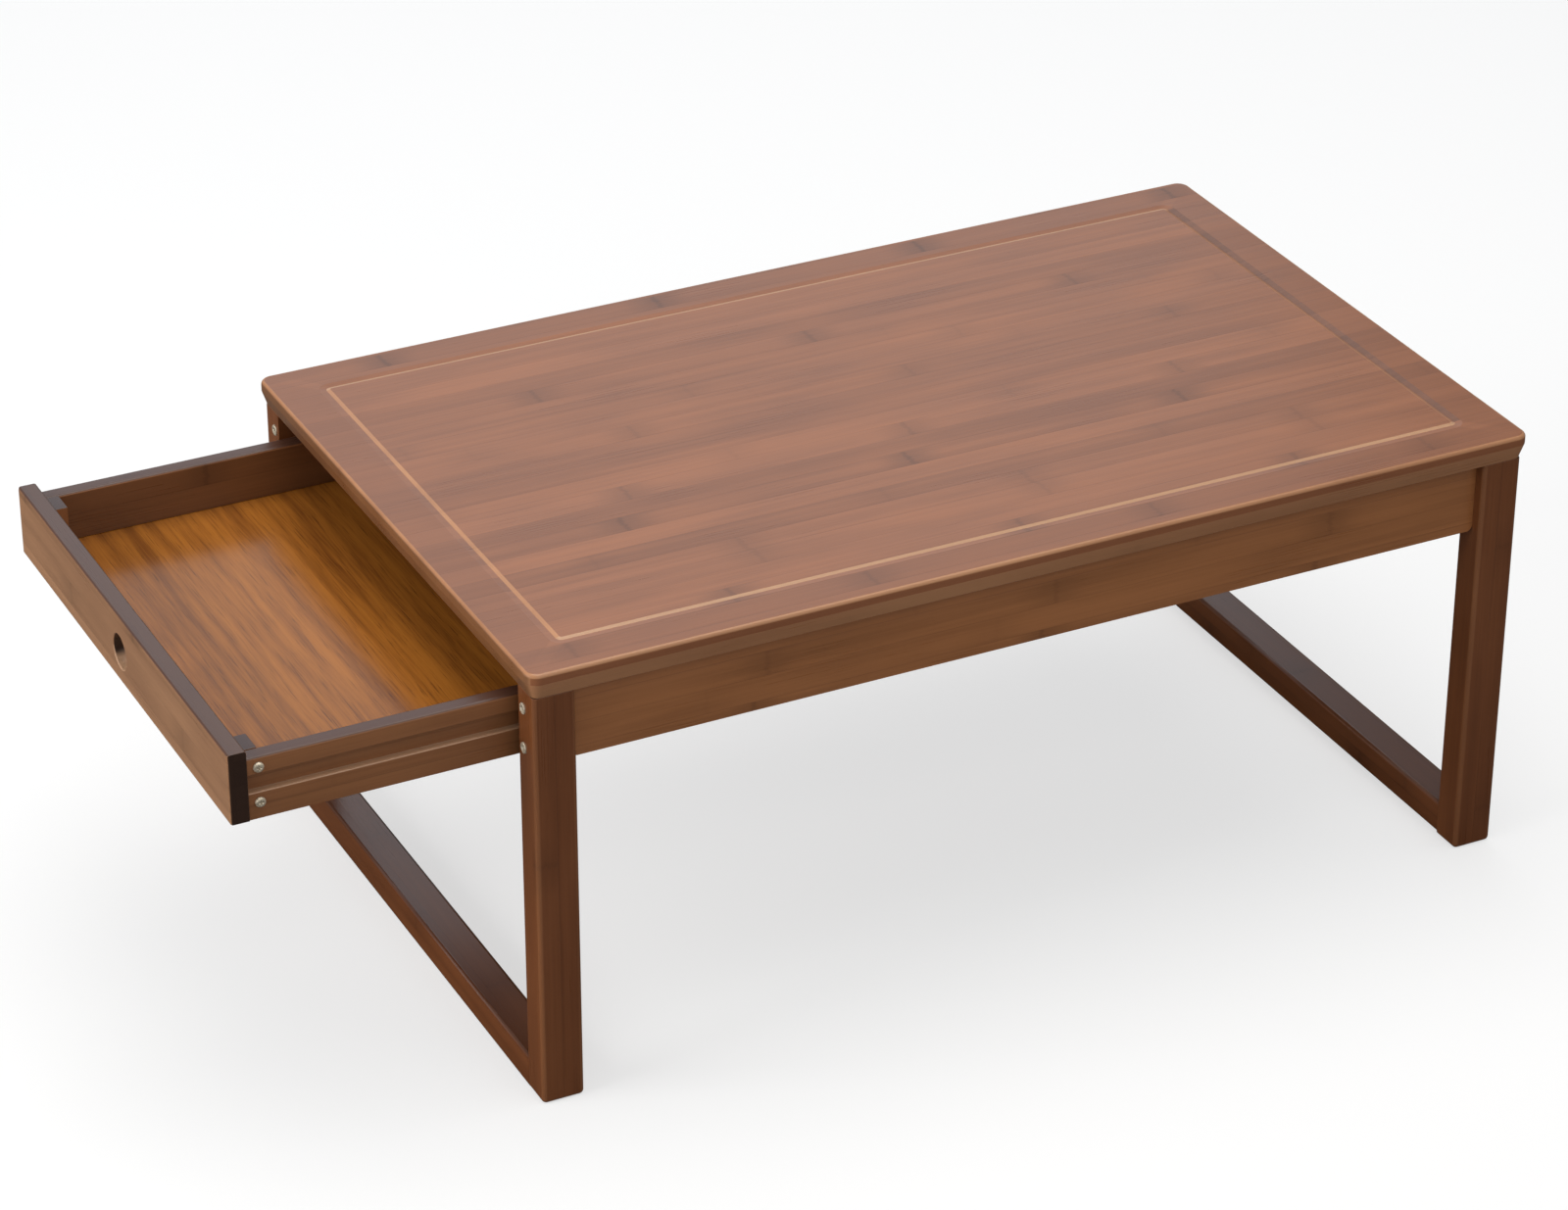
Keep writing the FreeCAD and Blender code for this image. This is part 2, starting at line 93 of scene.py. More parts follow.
# Each lamp: its place and size, its power in watts, its tint, and whether the lacquer mirrors it
LAMPS = {
    "overhead_softbox": ((0.2, 0.1, 3.4), (3.4, 3.0), 78.0, (1.0, 0.98, 0.95), True),
    "back_softbox": ((0.8, 3.0, 2.0), (3.0, 1.8), 13.0, (0.86, 0.92, 1.0), True),
    "left_softbox": ((-3.2, 0.0, 1.6), (3.6, 2.4), 20.0, (1.0, 0.99, 0.97), True),
    "left_fill": ((-3.0, 0.0, 1.3), (1.6, 1.6), 52.0, (1.0, 0.99, 0.97), False),
    "front_softbox": ((0.2, -3.4, 2.4), (3.6, 2.0), 26.0, (1.0, 0.95, 0.88), True),
}
LAMPS_AIM = Vector((0.0, 0.0, 0.2))
FLOOR_SQUARES = 8


def length(name, description, default):
    """A size in metres that a user may change."""
    return FloatProperty(
        name=name, description=description, default=default, min=0, unit="LENGTH", precision=5
    )


def share(name, description, default):
    """A number from 0 to 1 that a user may change."""
    return FloatProperty(
        name=name, description=description, default=default, min=0, max=1, subtype="FACTOR"
    )


def angle(name, description, degrees):
    """An angle that a user may change, given in degrees."""
    return FloatProperty(
        name=name, description=description, default=math.radians(degrees), subtype="ANGLE"
    )


def colour(name, description, default):
    """A linear colour that a user may change."""
    return FloatVectorProperty(
        name=name, description=description, default=default, min=0, max=1, subtype="COLOR"
    )


class TableSizes(bpy.types.PropertyGroup):
    """Sizes of the details. The pieces' places and main sizes come from the frame."""

    top_corner_r: length("Top corner", "Radius of the tabletop's corners", 0.010)
    top_arris_r: length("Top arris", "Radius of the tabletop's upper edge", 0.003)
    top_nose: length("Top nose", "Height of the tabletop's upright edge with its arris", 0.008)
    top_overhang: length("Top overhang", "How far the tabletop stands out past the legs", 0.004)
    line_inset: length("Line inset", "Distance of the routed line from the tabletop's edge", 0.0335)
    line_slope: length("Line slope", "Width of the routed line's gentle outer slope", 0.0050)
    line_depth: length("Line depth", "Depth of the routed line", 0.0007)
    line_floor: length("Line floor", "Width of the flat floor of the routed line", 0.0004)
    line_rise: length("Line rise", "Width of the routed line's pale inner slope", 0.0026)
    line_corner_r: length("Line corner", "Radius of the routed line's outer corners", 0.010)
    ease: length("Ease", "Radius of edges that are only broken with sandpaper", 0.0005)
    leg_round: length("Leg edge", "Radius of the legs' outer edges", 0.0035)
    rail_round: length("Rail edge", "Radius of the foot rails' long edges", 0.003)
    apron_ease: length("Apron edge", "Radius of the aprons' lower edges", 0.002)
    apron_corner_r: length("Apron corner", "Radius of the long aprons' lower corners", 0.005)
    front_round: length("Drawer front edge", "Radius of the drawer front's edges", 0.002)
    side_round: length("Drawer side edge", "Radius of the drawer sides' upper edges", 0.002)
    ledge_round: length("Groove ledge", "Radius of the lower outer edge of the runner groove", 0.0012)
    groove_from_top: length("Groove drop", "From a drawer side's upper edge to its runner groove", 0.013)
    groove_height: length("Groove height", "Height of the runner groove", 0.014)
    groove_depth: length("Groove depth", "Depth of the runner groove", 0.0055)
    floor_groove: length("Board groove", "Depth of the groove for the drawer's bottom board", 0.005)
    floor_play: length("Board play", "Room above the bottom board in its groove", 0.0002)
    hole_r: length("Finger hole", "Radius of the finger hole", 0.013)
    hole_lip: length("Finger hole lip", "Radius of the finger hole's edges", 0.0012)
    bolt_head_r: length("Bolt head", "Radius of the bolt heads", 0.0042)
    bolt_head_proud: length("Bolt head rise", "How far a bolt head stands out of its leg", 0.0008)
    bolt_seat_r: length("Bolt seat", "Radius of the seat that a bolt head lies in", 0.0045)
    bolt_seat_depth: length("Bolt seat depth", "Depth of the seat that a bolt head lies in", 0.0026)
    bolt_socket_r: length("Bolt socket", "Corner radius of the bolts' six-sided socket", 0.0022)
    bolt_socket_depth: length("Bolt socket depth", "Depth of the bolts' socket", 0.0018)
    screw_head_r: length("Screw head", "Radius of the drawer screws' heads", 0.0038)
    screw_head_height: length("Screw head height", "Height of the drawer screws' heads", 0.0024)
    screw_head_round: length("Screw head edge", "Radius of the drawer screws' crown edge", 0.0016)
    screw_slot: length("Screw slot", "Width of a screw's cross slot", 0.0010)
    screw_slot_length: length("Screw slot length", "Length of a screw's cross slot", 0.0038)
    screw_slot_depth: length("Screw slot depth", "Depth of a screw's cross slot", 0.0012)
    round_steps: IntProperty(
        name="Round steps", description="Facets across a rounded edge", default=5, min=2
    )
    circle_steps: IntProperty(
        name="Circle steps", description="Facets round a hole, a head or four corners", default=48, min=12
    )


class TableFinish(bpy.types.PropertyGroup):
    """Colours and surfaces of the finishes."""

    top_light: colour("Top light", "Pale strips of the tabletop", (0.318, 0.119, 0.050))
    top_dark: colour("Top dark", "Dark strips of the tabletop", (0.192, 0.069, 0.028))
    apron_light: colour("Apron light", "Pale strips of the aprons", (0.385, 0.150, 0.052))
    apron_dark: colour("Apron dark", "Dark strips of the aprons", (0.240, 0.092, 0.032))
    leg_light: colour("Leg light", "Pale strips of legs and foot rails", (0.205, 0.068, 0.022))
    leg_dark: colour("Leg dark", "Dark strips of legs and foot rails", (0.122, 0.038, 0.012))
    drawer_light: colour("Drawer light", "Pale strips of the drawer's sides and back", (0.320, 0.130, 0.049))
    drawer_dark: colour("Drawer dark", "Dark strips of the drawer's sides and back", (0.200, 0.078, 0.029))
    # The drawer front is paler and greyer than the sides, partly its own tone and partly painted sheen from
    # the left light
    front_light: colour("Drawer front light", "Pale strips of the drawer front", (0.380, 0.195, 0.100))
    front_dark: colour("Drawer front dark", "Dark strips of the drawer front", (0.250, 0.122, 0.062))
    board_light: colour("Board light", "Pale streaks of the drawer's bottom board", (0.385, 0.136, 0.020))
    board_dark: colour("Board dark", "Dark streaks of the drawer's bottom board", (0.160, 0.050, 0.009))
    plain_light: colour("Plain light", "Pale strips of the hidden carpentry", (0.360, 0.200, 0.095))
    plain_dark: colour("Plain dark", "Dark strips of the hidden carpentry", (0.230, 0.115, 0.050))
    # End grain also darkens faces marked as painted shade, the dark edge paints shade on the foot rails'
    # upper faces, the worn edge paints the tabletop's arris highlight and lit underside, and the fresh cut
    # paints the groove ledge's highlight and the finger hole's sheen
    end_grain_and_shade: colour("End grain", "Stain that sank into the cut ends of strips", (0.020, 0.008, 0.005))
    dark_edge_and_shade: colour("Dark edge", "Stain that sank into some upper edges", (0.050, 0.021, 0.015))
    worn_edge_and_light: colour("Worn edge", "Wood that shows where edges are rubbed", (0.480, 0.235, 0.110))
    fresh_cut_and_highlight: colour("Fresh cut", "Wood that shows in cuts made after staining", (0.480, 0.285, 0.170))
    metal: colour("Plated metal", "Bolt and screw heads", (0.860, 0.760, 0.590))
    metal_tarnish: colour("Tarnish", "Dull patches on bolt and screw heads", (0.560, 0.480, 0.360))
    strip_width: length("Strip width", "Width of the glued strips", 0.021)
    strip_depth: length("Strip depth", "Thickness of the glued strips", 0.019)
    glue_width: length("Glue line", "Half the width of the glue line between strips", 0.0005)
    lacquer_roughness: share("Lacquer roughness", "Roughness of the satin lacquer", 0.30)
    board_roughness: share("Board roughness", "Roughness of the drawer's glossy bottom board", 0.20)
    metal_roughness: share("Metal roughness", "Roughness of bolt and screw heads", 0.45)


class TableStage(bpy.types.PropertyGroup):
    """The floor, lights and camera."""

    floor_size: length("Floor", "Side of the square floor", 16.0)
    floor_shown: share("Floor tone", "Paleness of the floor as the camera sees it", 0.92)
    floor_bounce: share("Floor bounce", "Paleness of the floor in bounced light", 0.35)
    floor_mirrored: share("Floor mirrored", "Paleness of the floor in reflections", 0.06)
    floor_glow: share("Floor glow", "How far the floor is lifted out of shadow for the camera", 0.6)
    room_light: share("Room light", "Strength of the light from all round", 0.35)
    room_shown: FloatProperty(name="Room tone", description="Paleness of the room to the camera", default=1.1)
    room_tint: colour("Room tint", "Colour of the light from all round", (0.90, 0.95, 1.0))
    camera_place: FloatVectorProperty(
        name="Camera", description="Where the camera stands", default=(-1.418, -2.8705, 2.002),
        subtype="TRANSLATION",
    )
    camera_yaw: angle("Yaw", "How far the camera turns to the right", 26.547)
    camera_pitch: angle("Pitch", "How far the camera looks down", 29.288)
    camera_roll: angle("Roll", "How far the camera leans", 0.093)
    camera_lens: FloatProperty(
        name="Lens", description="Focal length on the sensor", default=113.18, unit="CAMERA"
    )
    camera_sensor: FloatProperty(
        name="Sensor", description="Width of the sensor", default=36.0, unit="CAMERA"
    )


def start_piece():
    """A new mesh with a layer for how bare its faces are and the light and shade painted on them."""
    bm = bmesh.new()
    bm.faces.layers.float.new(EDGE_MARK)
    return bm


def start_block(low, high):
    """A new mesh that is a box between two corners."""
    bm = start_piece()
    bmesh.ops.create_cube(bm, size=1.0)
    bmesh.ops.scale(bm, vec=high - low, verts=bm.verts)
    bmesh.ops.translate(bm, vec=(low + high) / 2, verts=bm.verts)
    return bm


def only(items, kind):
    """The items that are of one kind: points, edges or faces."""
    return [item for item in items if isinstance(item, kind)]


def edge_axis(edge):
    """The axis that an edge lies along: X, Y, Z or none."""
    run = edge.verts[1].co - edge.verts[0].co
    for name, axis in AXES.items():
        if run.length and abs(run.normalized().dot(axis)) > SAME_WAY:
            return name
    return ""


def middle(edge):
    """The middle of an edge."""
    return (edge.verts[0].co + edge.verts[1].co) / 2


def near(place, other):
    """True where two places are one."""
    return abs(place - other) < TINY


def sharp_edges(bm, wanted=lambda edge: True):
    """The edges where two faces meet at a marked angle, of those that pass a test."""
    joins = [edge for edge in bm.edges if len(edge.link_faces) == 2 and wanted(edge)]
    return [edge for edge in joins if edge.calc_face_angle() > SHARP_ANGLE]


def mark_faces(bm, faces, mark):
    """Notes how bare some faces are, and the light and shade painted on them."""
    layer = bm.faces.layers.float[EDGE_MARK]
    for face in faces:
        face[layer] = mark


def round_edges(bm, edges, radius, steps, mark=RUBBED):
    """Rounds some edges, and marks the new faces."""
    made = bmesh.ops.bevel(
        bm, geom=edges, offset=radius, offset_type="OFFSET", affect="EDGES",
        segments=steps, profile=0.5, material=-1, clamp_overlap=True,
    )
    mark_faces(bm, made["faces"], mark)


def ease_rest(bm, sizes):
    """Breaks every edge that is still sharp."""
    round_edges(bm, sharp_edges(bm), sizes.ease, EASE_STEPS)


def spread_marks(bm):
    """Stores how bare each point is, with its painted light and shade: as bare as the least bare of the faces
    round it.
    """
    layer = bm.faces.layers.float[EDGE_MARK]
    wear_light_and_shade = bm.verts.layers.float.new(WEAR_LIGHT_AND_SHADE)
    for vert in bm.verts:
        vert[wear_light_and_shade] = min(face[layer] for face in vert.link_faces)


def finish_piece(bm, name, node, body, material):
    """Makes the mesh an object that stands for its CAD node and rides on that node's body."""
    bmesh.ops.remove_doubles(bm, verts=bm.verts, dist=MERGE_GAP)
    bmesh.ops.recalc_face_normals(bm, faces=bm.faces)
    spread_marks(bm)
    mesh = bpy.data.meshes.new(name)
    bm.to_mesh(mesh)
    bm.free()
    mesh.shade_smooth()
    piece = bpy.data.objects.new(name, mesh)
    bpy.context.scene.collection.objects.link(piece)
    mesh.materials.append(material)
    shading = piece.modifiers.new("Even shading", "WEIGHTED_NORMAL")
    shading.keep_sharp = True
    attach(piece, body)
    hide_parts(node)


def extruded(bm, outline, along):
    """Adds a solid whose outline is pulled along a vector."""
    face = bm.faces.new([bm.verts.new(point) for point in outline])
    made = bmesh.ops.extrude_face_region(bm, geom=[face])
    bmesh.ops.translate(bm, vec=along, verts=only(made["geom"], bmesh.types.BMVert))
    bmesh.ops.recalc_face_normals(bm, faces=bm.faces)


def face_holds(face, point):
    """True where a point lies within a face's box."""
    spans = [(min(places), max(places)) for places in zip(*[vert.co for vert in face.verts])]
    return all(low - TINY <= place <= high + TINY for (low, high), place in zip(spans, point))


def cut_across(bm, face, place, axis):
    """Cuts one flat face across an axis, and returns its pieces."""
    geom = [face, *face.edges, *face.verts]
    made = bmesh.ops.bisect_plane(bm, geom=geom, plane_co=axis * place, plane_no=axis)
    return only(made["geom"], bmesh.types.BMFace)


def round_patch(bm, normal, centre, radius, steps):
    """Cuts a round face into the flat side that looks along a direction, and returns it."""
    cell = radius * CELL_SHARE
    sides = [face for face in bm.faces if face.normal.dot(normal) > SAME_WAY]
    patch = next(face for face in sides if face_holds(face, centre))
    for axis in AXES.values():
        if near(axis.dot(normal), 0):
            for reach in (-cell, cell):
                pieces = cut_across(bm, patch, centre.dot(axis) + reach, axis)
                patch = next(face for face in pieces if face_holds(face, centre))
    bmesh.ops.inset_individual(bm, faces=[patch], thickness=cell - radius, use_even_offset=True)
    bmesh.ops.subdivide_edges(bm, edges=list(patch.edges), cuts=steps // 4 - 1)
    for vert in patch.verts:
        vert.co = centre + (vert.co - centre).normalized() * radius
    return patch


def highest_face(bm):
    """The face whose middle is highest."""
    return max(bm.faces, key=lambda face: face.calc_center_median().z)


def sink_face(bm, face, depth):
    """Pushes a face into its solid, with upright walls."""
    bmesh.ops.inset_individual(bm, faces=[face], thickness=0, depth=-depth)


def rgba(value):
    """A colour property with full cover."""
    return (*value, 1.0)


class Pattern(NamedTuple):
    """Soft random shapes: how many to the metre on three axes, how fine and rough, and where they start."""

    counts: tuple
    detail: float
    roughness: float
    start: float = 0.0


# A Mix node's sockets for colours, by number because their names repeat
MIX_AMOUNT, MIX_FIRST, MIX_SECOND, MIX_RESULT = 0, 6, 7, 2


class Look:
    """One material's nodes, with short calls for what the materials share."""

    def __init__(self, name):
        self.material = bpy.data.materials.new(name)
        self.material.use_nodes = True
        self.tree = self.material.node_tree
        self.shader = self.tree.nodes["Principled BSDF"]

    def feed(self, socket, value):
        """Links a socket to a socket, or sets its value."""
        if isinstance(value, bpy.types.NodeSocket):
            self.tree.links.new(value, socket)
        else:
            socket.default_value = value

    def surface(self, **values):
        """Sets or links the shader's own sockets, named with low lines for spaces."""
        for name, value in values.items():
            self.feed(self.shader.inputs[name.replace("_", " ")], value)

    def add(self, kind, inputs=None, **settings):
        """Adds a node with its settings and inputs."""
        node = self.tree.nodes.new(kind)
        for key, value in settings.items():
            setattr(node, key, value)
        for key, value in (inputs or {}).items():
            self.feed(node.inputs[key], value)
        return node

    def math(self, operation, *values):
        """A reckoning with numbers."""
        return self.add("ShaderNodeMath", dict(enumerate(values)), operation=operation).outputs[0]

    def total(self, *values):
        """The sum of several numbers."""
        first, *rest = values
        for value in rest:
            first = self.math("ADD", first, value)
        return first

    def minus(self, first, second):
        """One number less another."""
        return self.math("SUBTRACT", first, second)

    def times(self, first, second):
        """The product of two numbers."""
        return self.math("MULTIPLY", first, second)

    def scaled(self, value, factor, start):
        """A number times a factor, counted from a start."""
        return self.math("MULTIPLY_ADD", value, factor, start)

    def swing(self, value, amount):
        """A number from 0 to 1 as a swing about nothing."""
        return self.times(self.minus(value, 0.5), amount)

    def rise(self, value, low, high):
        """0 below one value, 1 above another, smooth between."""
        inputs = {"Value": value, "From Min": low, "From Max": high}
        return self.add("ShaderNodeMapRange", inputs, interpolation_type="SMOOTHSTEP").outputs[0]

    def fall(self, value, low, high):
        """1 below one value, 0 above another, smooth between."""
        return self.minus(1.0, self.rise(value, low, high))

    def mixed(self, amount, first, second):
        """One colour over another."""
        over = rgba(second) if len(second) == 3 else second
        inputs = {MIX_AMOUNT: amount, MIX_FIRST: first, MIX_SECOND: over}
        return self.add("ShaderNodeMix", inputs, data_type="RGBA").outputs[MIX_RESULT]

    def pattern(self, pattern, axes, start=None):
        """A pattern's shapes on three axes, from its own start or another."""
        begin = pattern.start if start is None else start
        places = [self.scaled(axis, count, begin) for axis, count in zip(axes, pattern.counts)]
        inputs = {
            "Vector": self.add("ShaderNodeCombineXYZ", dict(enumerate(places))).outputs[0],
            "Scale": 1.0,
            "Detail": pattern.detail,
            "Roughness": pattern.roughness,
        }
        return self.add("ShaderNodeTexNoise", inputs).outputs[0]

    def facing(self, coords, axis, low, high):
        """1 where the surface looks along an axis, either way, and 0 where it doesn't."""
        inputs = {0: coords.outputs["Normal"], 1: tuple(axis)}
        turn = self.add("ShaderNodeVectorMath", inputs, operation="DOT_PRODUCT").outputs["Value"]
        return self.rise(self.math("ABSOLUTE", turn), low, high)

    def attribute(self, name):
        """A number that the mesh holds at each point."""
        return self.add("ShaderNodeAttribute", attribute_name=name).outputs["Fac"]

    def bump(self, strength, distance, height):
        """Small hills and dips in the surface."""
        inputs = {"Strength": strength, "Distance": distance, "Height": height}
        return self.add("ShaderNodeBump", inputs).outputs[0]


# Each kind of wood: its colours, how much stain its edges lost and how much light is painted on them, and how
# dark cut ends and upper edges are, with the darkening partly painted shade
WOODS = {
    # The tabletop's edges are worn strongly, partly as a painted highlight along its arris and painted light
    # on its underside slope and left end
    "top": ("top", 0.75, 0.5, 0.0),
    "apron": ("apron", 0.35, 0.82, 0.0),
    "leg": ("leg", 0.15, 0.82, 0.0),
    # The foot rails' upper faces are darkened as painted shade from the drawer and tabletop above them
    "rail": ("leg", 0.05, 0.82, 0.5),
    "front": ("front", 0.0, 0.95, 0.9),
    "drawer": ("drawer", 0.0, 0.82, 0.9),
    "plain": ("plain", 0.2, 0.82, 0.0),
}
# How the grain axis is turned onto the patterns' own X
GRAIN_TURNS = {"X": (0, 0, 0), "Y": (0, 0, -math.pi / 2), "Z": (0, math.pi / 2, 0)}
# Patterns along, across and through the grain: in strips, each from a start of its own, and over all of them
FIBRES = Pattern((16.0, 900.0, 900.0), 4.0, 0.6)
STREAKS = Pattern((3.2, 150.0, 150.0), 3.0, 0.55)
RAGGED_ENDS = Pattern((90.0, 420.0, 420.0), 3.0, 0.6)
STAIN_CLOUDS = Pattern((7.0, 26.0, 26.0), 2.0, 0.5, start=4.0)
# Where the first strip begins, as shares of a strip, and how far apart in the patterns strips may start
STRIP_OFFSETS = (0.37, 0.31)
STRIPS_APART = 57.0
# How far a strip's draw and the patterns swing its tone, and the swing that is palest or darkest
STRIP_SWING, STREAK_SWING, CLOUD_SWING, FIBRE_SWING = 0.32, 0.85, 0.85, 0.55
TONE_REACH = 0.55
# Joints of the cane, as shares of the way between two: middle, raggedness, reach of the haze, fading tick
JOINTS_PER_METRE = 4.4
JOINT_MIDDLE, JOINT_RAGGED, HAZE_REACH = 0.48, 0.04, 0.14
TICK_FADE = (0.002, 0.014)
# How dark a joint's haze is, what streaks add, how dark its tick is, and the power that spares most strips
HAZE_DARK, HAZE_STREAKED, TICK_DARK, STRIPS_SPARED = 0.05, 0.5, 0.2, 2.2
# How dark stain is in the tabletop's border, how dark the painted shade is, and how dark stain is in glue
# lines
BORDER_STAIN, SHADE_DARKNESS, GLUE_STAIN = 0.4, 0.42, 0.22
# What the clouds are lifted by to make patchy wear and painted light, and how far fresh cuts and painted
# highlights go to the pale colour
WEAR_LIFT, CUT_AND_HIGHLIGHT_PALE = 0.4, 0.7
# Cosines between which a face comes to count as a cut end, and as an upper edge
CUT_END = (0.7, 0.95)
UPPER_EDGE = (0.25, 0.8)
# How high streaks stand and how deep glue lines are beside the fibres, and the bump's strength and height
STREAK_HEIGHT, GLUE_DEPTH = 0.6, 0.8
LACQUER_BUMP = (0.12, 0.0004)
LACQUER_SWING = 0.10


def grain_axes(look, coords, grain):
    """The place along, across and through the grain."""
    inputs = {"Vector": coords.outputs["Object"], "Rotation": GRAIN_TURNS[grain]}
    turned = look.add("ShaderNodeMapping", inputs).outputs[0]
    return look.add("ShaderNodeSeparateXYZ", {"Vector": turned}).outputs


def glued_strips(look, axes, finish):
    """The place counted in strips across and through the board, and three draws for each strip."""
    across = look.total(look.math("DIVIDE", axes[1], finish.strip_width), STRIP_OFFSETS[0])
    through = look.total(look.math("DIVIDE", axes[2], finish.strip_depth), STRIP_OFFSETS[1])
    numbers = {0: look.math("FLOOR", across), 1: look.math("FLOOR", through)}
    strip = look.add("ShaderNodeCombineXYZ", numbers).outputs[0]
    chance = look.add("ShaderNodeTexWhiteNoise", {"Vector": strip}, noise_dimensions="3D")
    draws = look.add("ShaderNodeSeparateColor", {"Color": chance.outputs["Color"]}).outputs
    return across, through, draws


def cane_joints(look, axes, start, streak, draw):
    """How dark the joints of the cane are: a tick across a strip in a soft haze, strong in few strips."""
    ragged = look.pattern(RAGGED_ENDS, axes, start)
    place = look.math("FRACT", look.scaled(axes[0], JOINTS_PER_METRE, start))
    gap = look.math("ABSOLUTE", look.minus(place, look.scaled(ragged, JOINT_RAGGED, JOINT_MIDDLE)))
    haze = look.times(look.fall(gap, 0.0, HAZE_REACH), look.scaled(streak, HAZE_STREAKED, HAZE_DARK))
    tick = look.times(look.fall(gap, *TICK_FADE), TICK_DARK)
    return look.times(look.total(haze, tick), look.math("POWER", draw, STRIPS_SPARED))


def glue_lines(look, across, through, finish):
    """1 in the thin glue lines between strips, and 0 in the strips."""
    lines = []
    for place, width in ((across, finish.strip_width), (through, finish.strip_depth)):
        part = look.math("FRACT", place)
        gap = look.times(look.math("MINIMUM", part, look.minus(1.0, part)), width)
        lines.append(look.fall(gap, 0.0, finish.glue_width))
    return look.math("MAXIMUM", *lines)


def strip_wood(name, kind, grain, finish):
    """Lacquered wood glued up from strips, with the grain along one axis."""
    tint, edge_wear_and_light, end_stain, upper_stain_and_shade = WOODS[kind]
    light, dark = getattr(finish, f"{tint}_light"), getattr(finish, f"{tint}_dark")
    look = Look(name)
    coords = look.add("ShaderNodeTexCoord")
    axes = grain_axes(look, coords, grain)
    across, through, draws = glued_strips(look, axes, finish)
    start = look.times(draws[0], STRIPS_APART)

    # Each strip has its own tone, with fibres, broad streaks and clouds of stain
    fibre = look.pattern(FIBRES, axes, start)
    streak = look.pattern(STREAKS, axes, start)
    cloud = look.pattern(STAIN_CLOUDS, axes)
    tone = look.total(
        look.swing(draws[1], STRIP_SWING),
        look.swing(streak, STREAK_SWING),
        look.swing(cloud, CLOUD_SWING),
        look.swing(fibre, FIBRE_SWING),
    )
    shade = look.mixed(look.rise(tone, -TONE_REACH, TONE_REACH), rgba(dark), light)

    # Stain is darker in the tabletop's border, at the cane's joints and in glue lines; faces marked shaded
    # are darkened as painted shade
    bare = look.attribute(WEAR_LIGHT_AND_SHADE)
    painted_shade = look.fall(bare, SHADED, 0.0)
    if kind == "top":
        shade = look.mixed(look.times(look.attribute(BORDER), BORDER_STAIN), shade, dark)
    shade = look.mixed(look.times(painted_shade, SHADE_DARKNESS), shade, finish.end_grain_and_shade)
    seam = glue_lines(look, across, through, finish)
    shade = look.mixed(cane_joints(look, axes, start, streak, draws[2]), shade, finish.end_grain_and_shade)
    shade = look.mixed(look.times(seam, GLUE_STAIN), shade, finish.end_grain_and_shade)

    # Rubbed edges and fresh cuts lose the stain, and the same pale colours paint light: highlights on the
    # arris and the groove ledge, sheen in the finger hole, and light on the tabletop's underside slope and
    # left end; cut ends and the drawer's upper edges drink stain, and the foot rails' upper faces take
    # painted shade
    patchy = look.times(look.total(cloud, WEAR_LIFT), edge_wear_and_light)
    shade = look.mixed(look.times(look.rise(bare, 0.0, RUBBED), patchy), shade, finish.worn_edge_and_light)
    pale_cut_and_highlight = look.rise(bare, RUBBED, FRESH_CUT_AND_HIGHLIGHT)
    shade = look.mixed(look.times(pale_cut_and_highlight, CUT_AND_HIGHLIGHT_PALE), shade, finish.fresh_cut_and_highlight)
    cut_end = look.facing(coords, AXES[grain], *CUT_END)
    shade = look.mixed(look.times(cut_end, end_stain), shade, finish.end_grain_and_shade)
    if upper_stain_and_shade:
        upper = look.times(look.facing(coords, AXIS_Z, *UPPER_EDGE), look.minus(1.0, pale_cut_and_highlight))
        shade = look.mixed(look.times(upper, upper_stain_and_shade), shade, finish.dark_edge_and_shade)

    height = look.minus(look.scaled(streak, STREAK_HEIGHT, fibre), look.times(seam, GLUE_DEPTH))
    swings = [look.swing(pattern, LACQUER_SWING) for pattern in (fibre, cloud)]
    look.surface(
        Base_Color=shade,
        Roughness=look.total(*swings, finish.lacquer_roughness),
        Normal=look.bump(*LACQUER_BUMP, height),
    )
    return look.material


# Patterns of the drawer's bottom board along, across and through its grain, and how far the bends reach
BOARD_BENDS = Pattern((6.0, 22.0, 22.0), 2.0, 0.5, start=2.0)
BOARD_FIGURE = Pattern((5.0, 120.0, 120.0), 4.0, 0.62, start=3.0)
BOARD_BANDS = Pattern((3.0, 34.0, 34.0), 2.0, 0.5, start=7.0)
BOARD_PORES = Pattern((30.0, 1300.0, 1300.0), 3.0, 0.6, start=5.0)
BEND_REACH = 0.004
# How far they swing the board's tone, and the swings that are darkest and palest
FIGURE_SWING, PORE_SWING, BAND_SWING = 1.5, 0.6, 0.8
BOARD_TONES = (-0.55, 0.45)
# The pattern's values between which a pore fades, and how dark it is
PORE_FADE = (0.30, 0.42)
PORE_STAIN = 0.5
# The bump's strength and height, and how far roughness swings
BOARD_BUMP = (0.06, 0.0003)
BOARD_SWING = 0.08


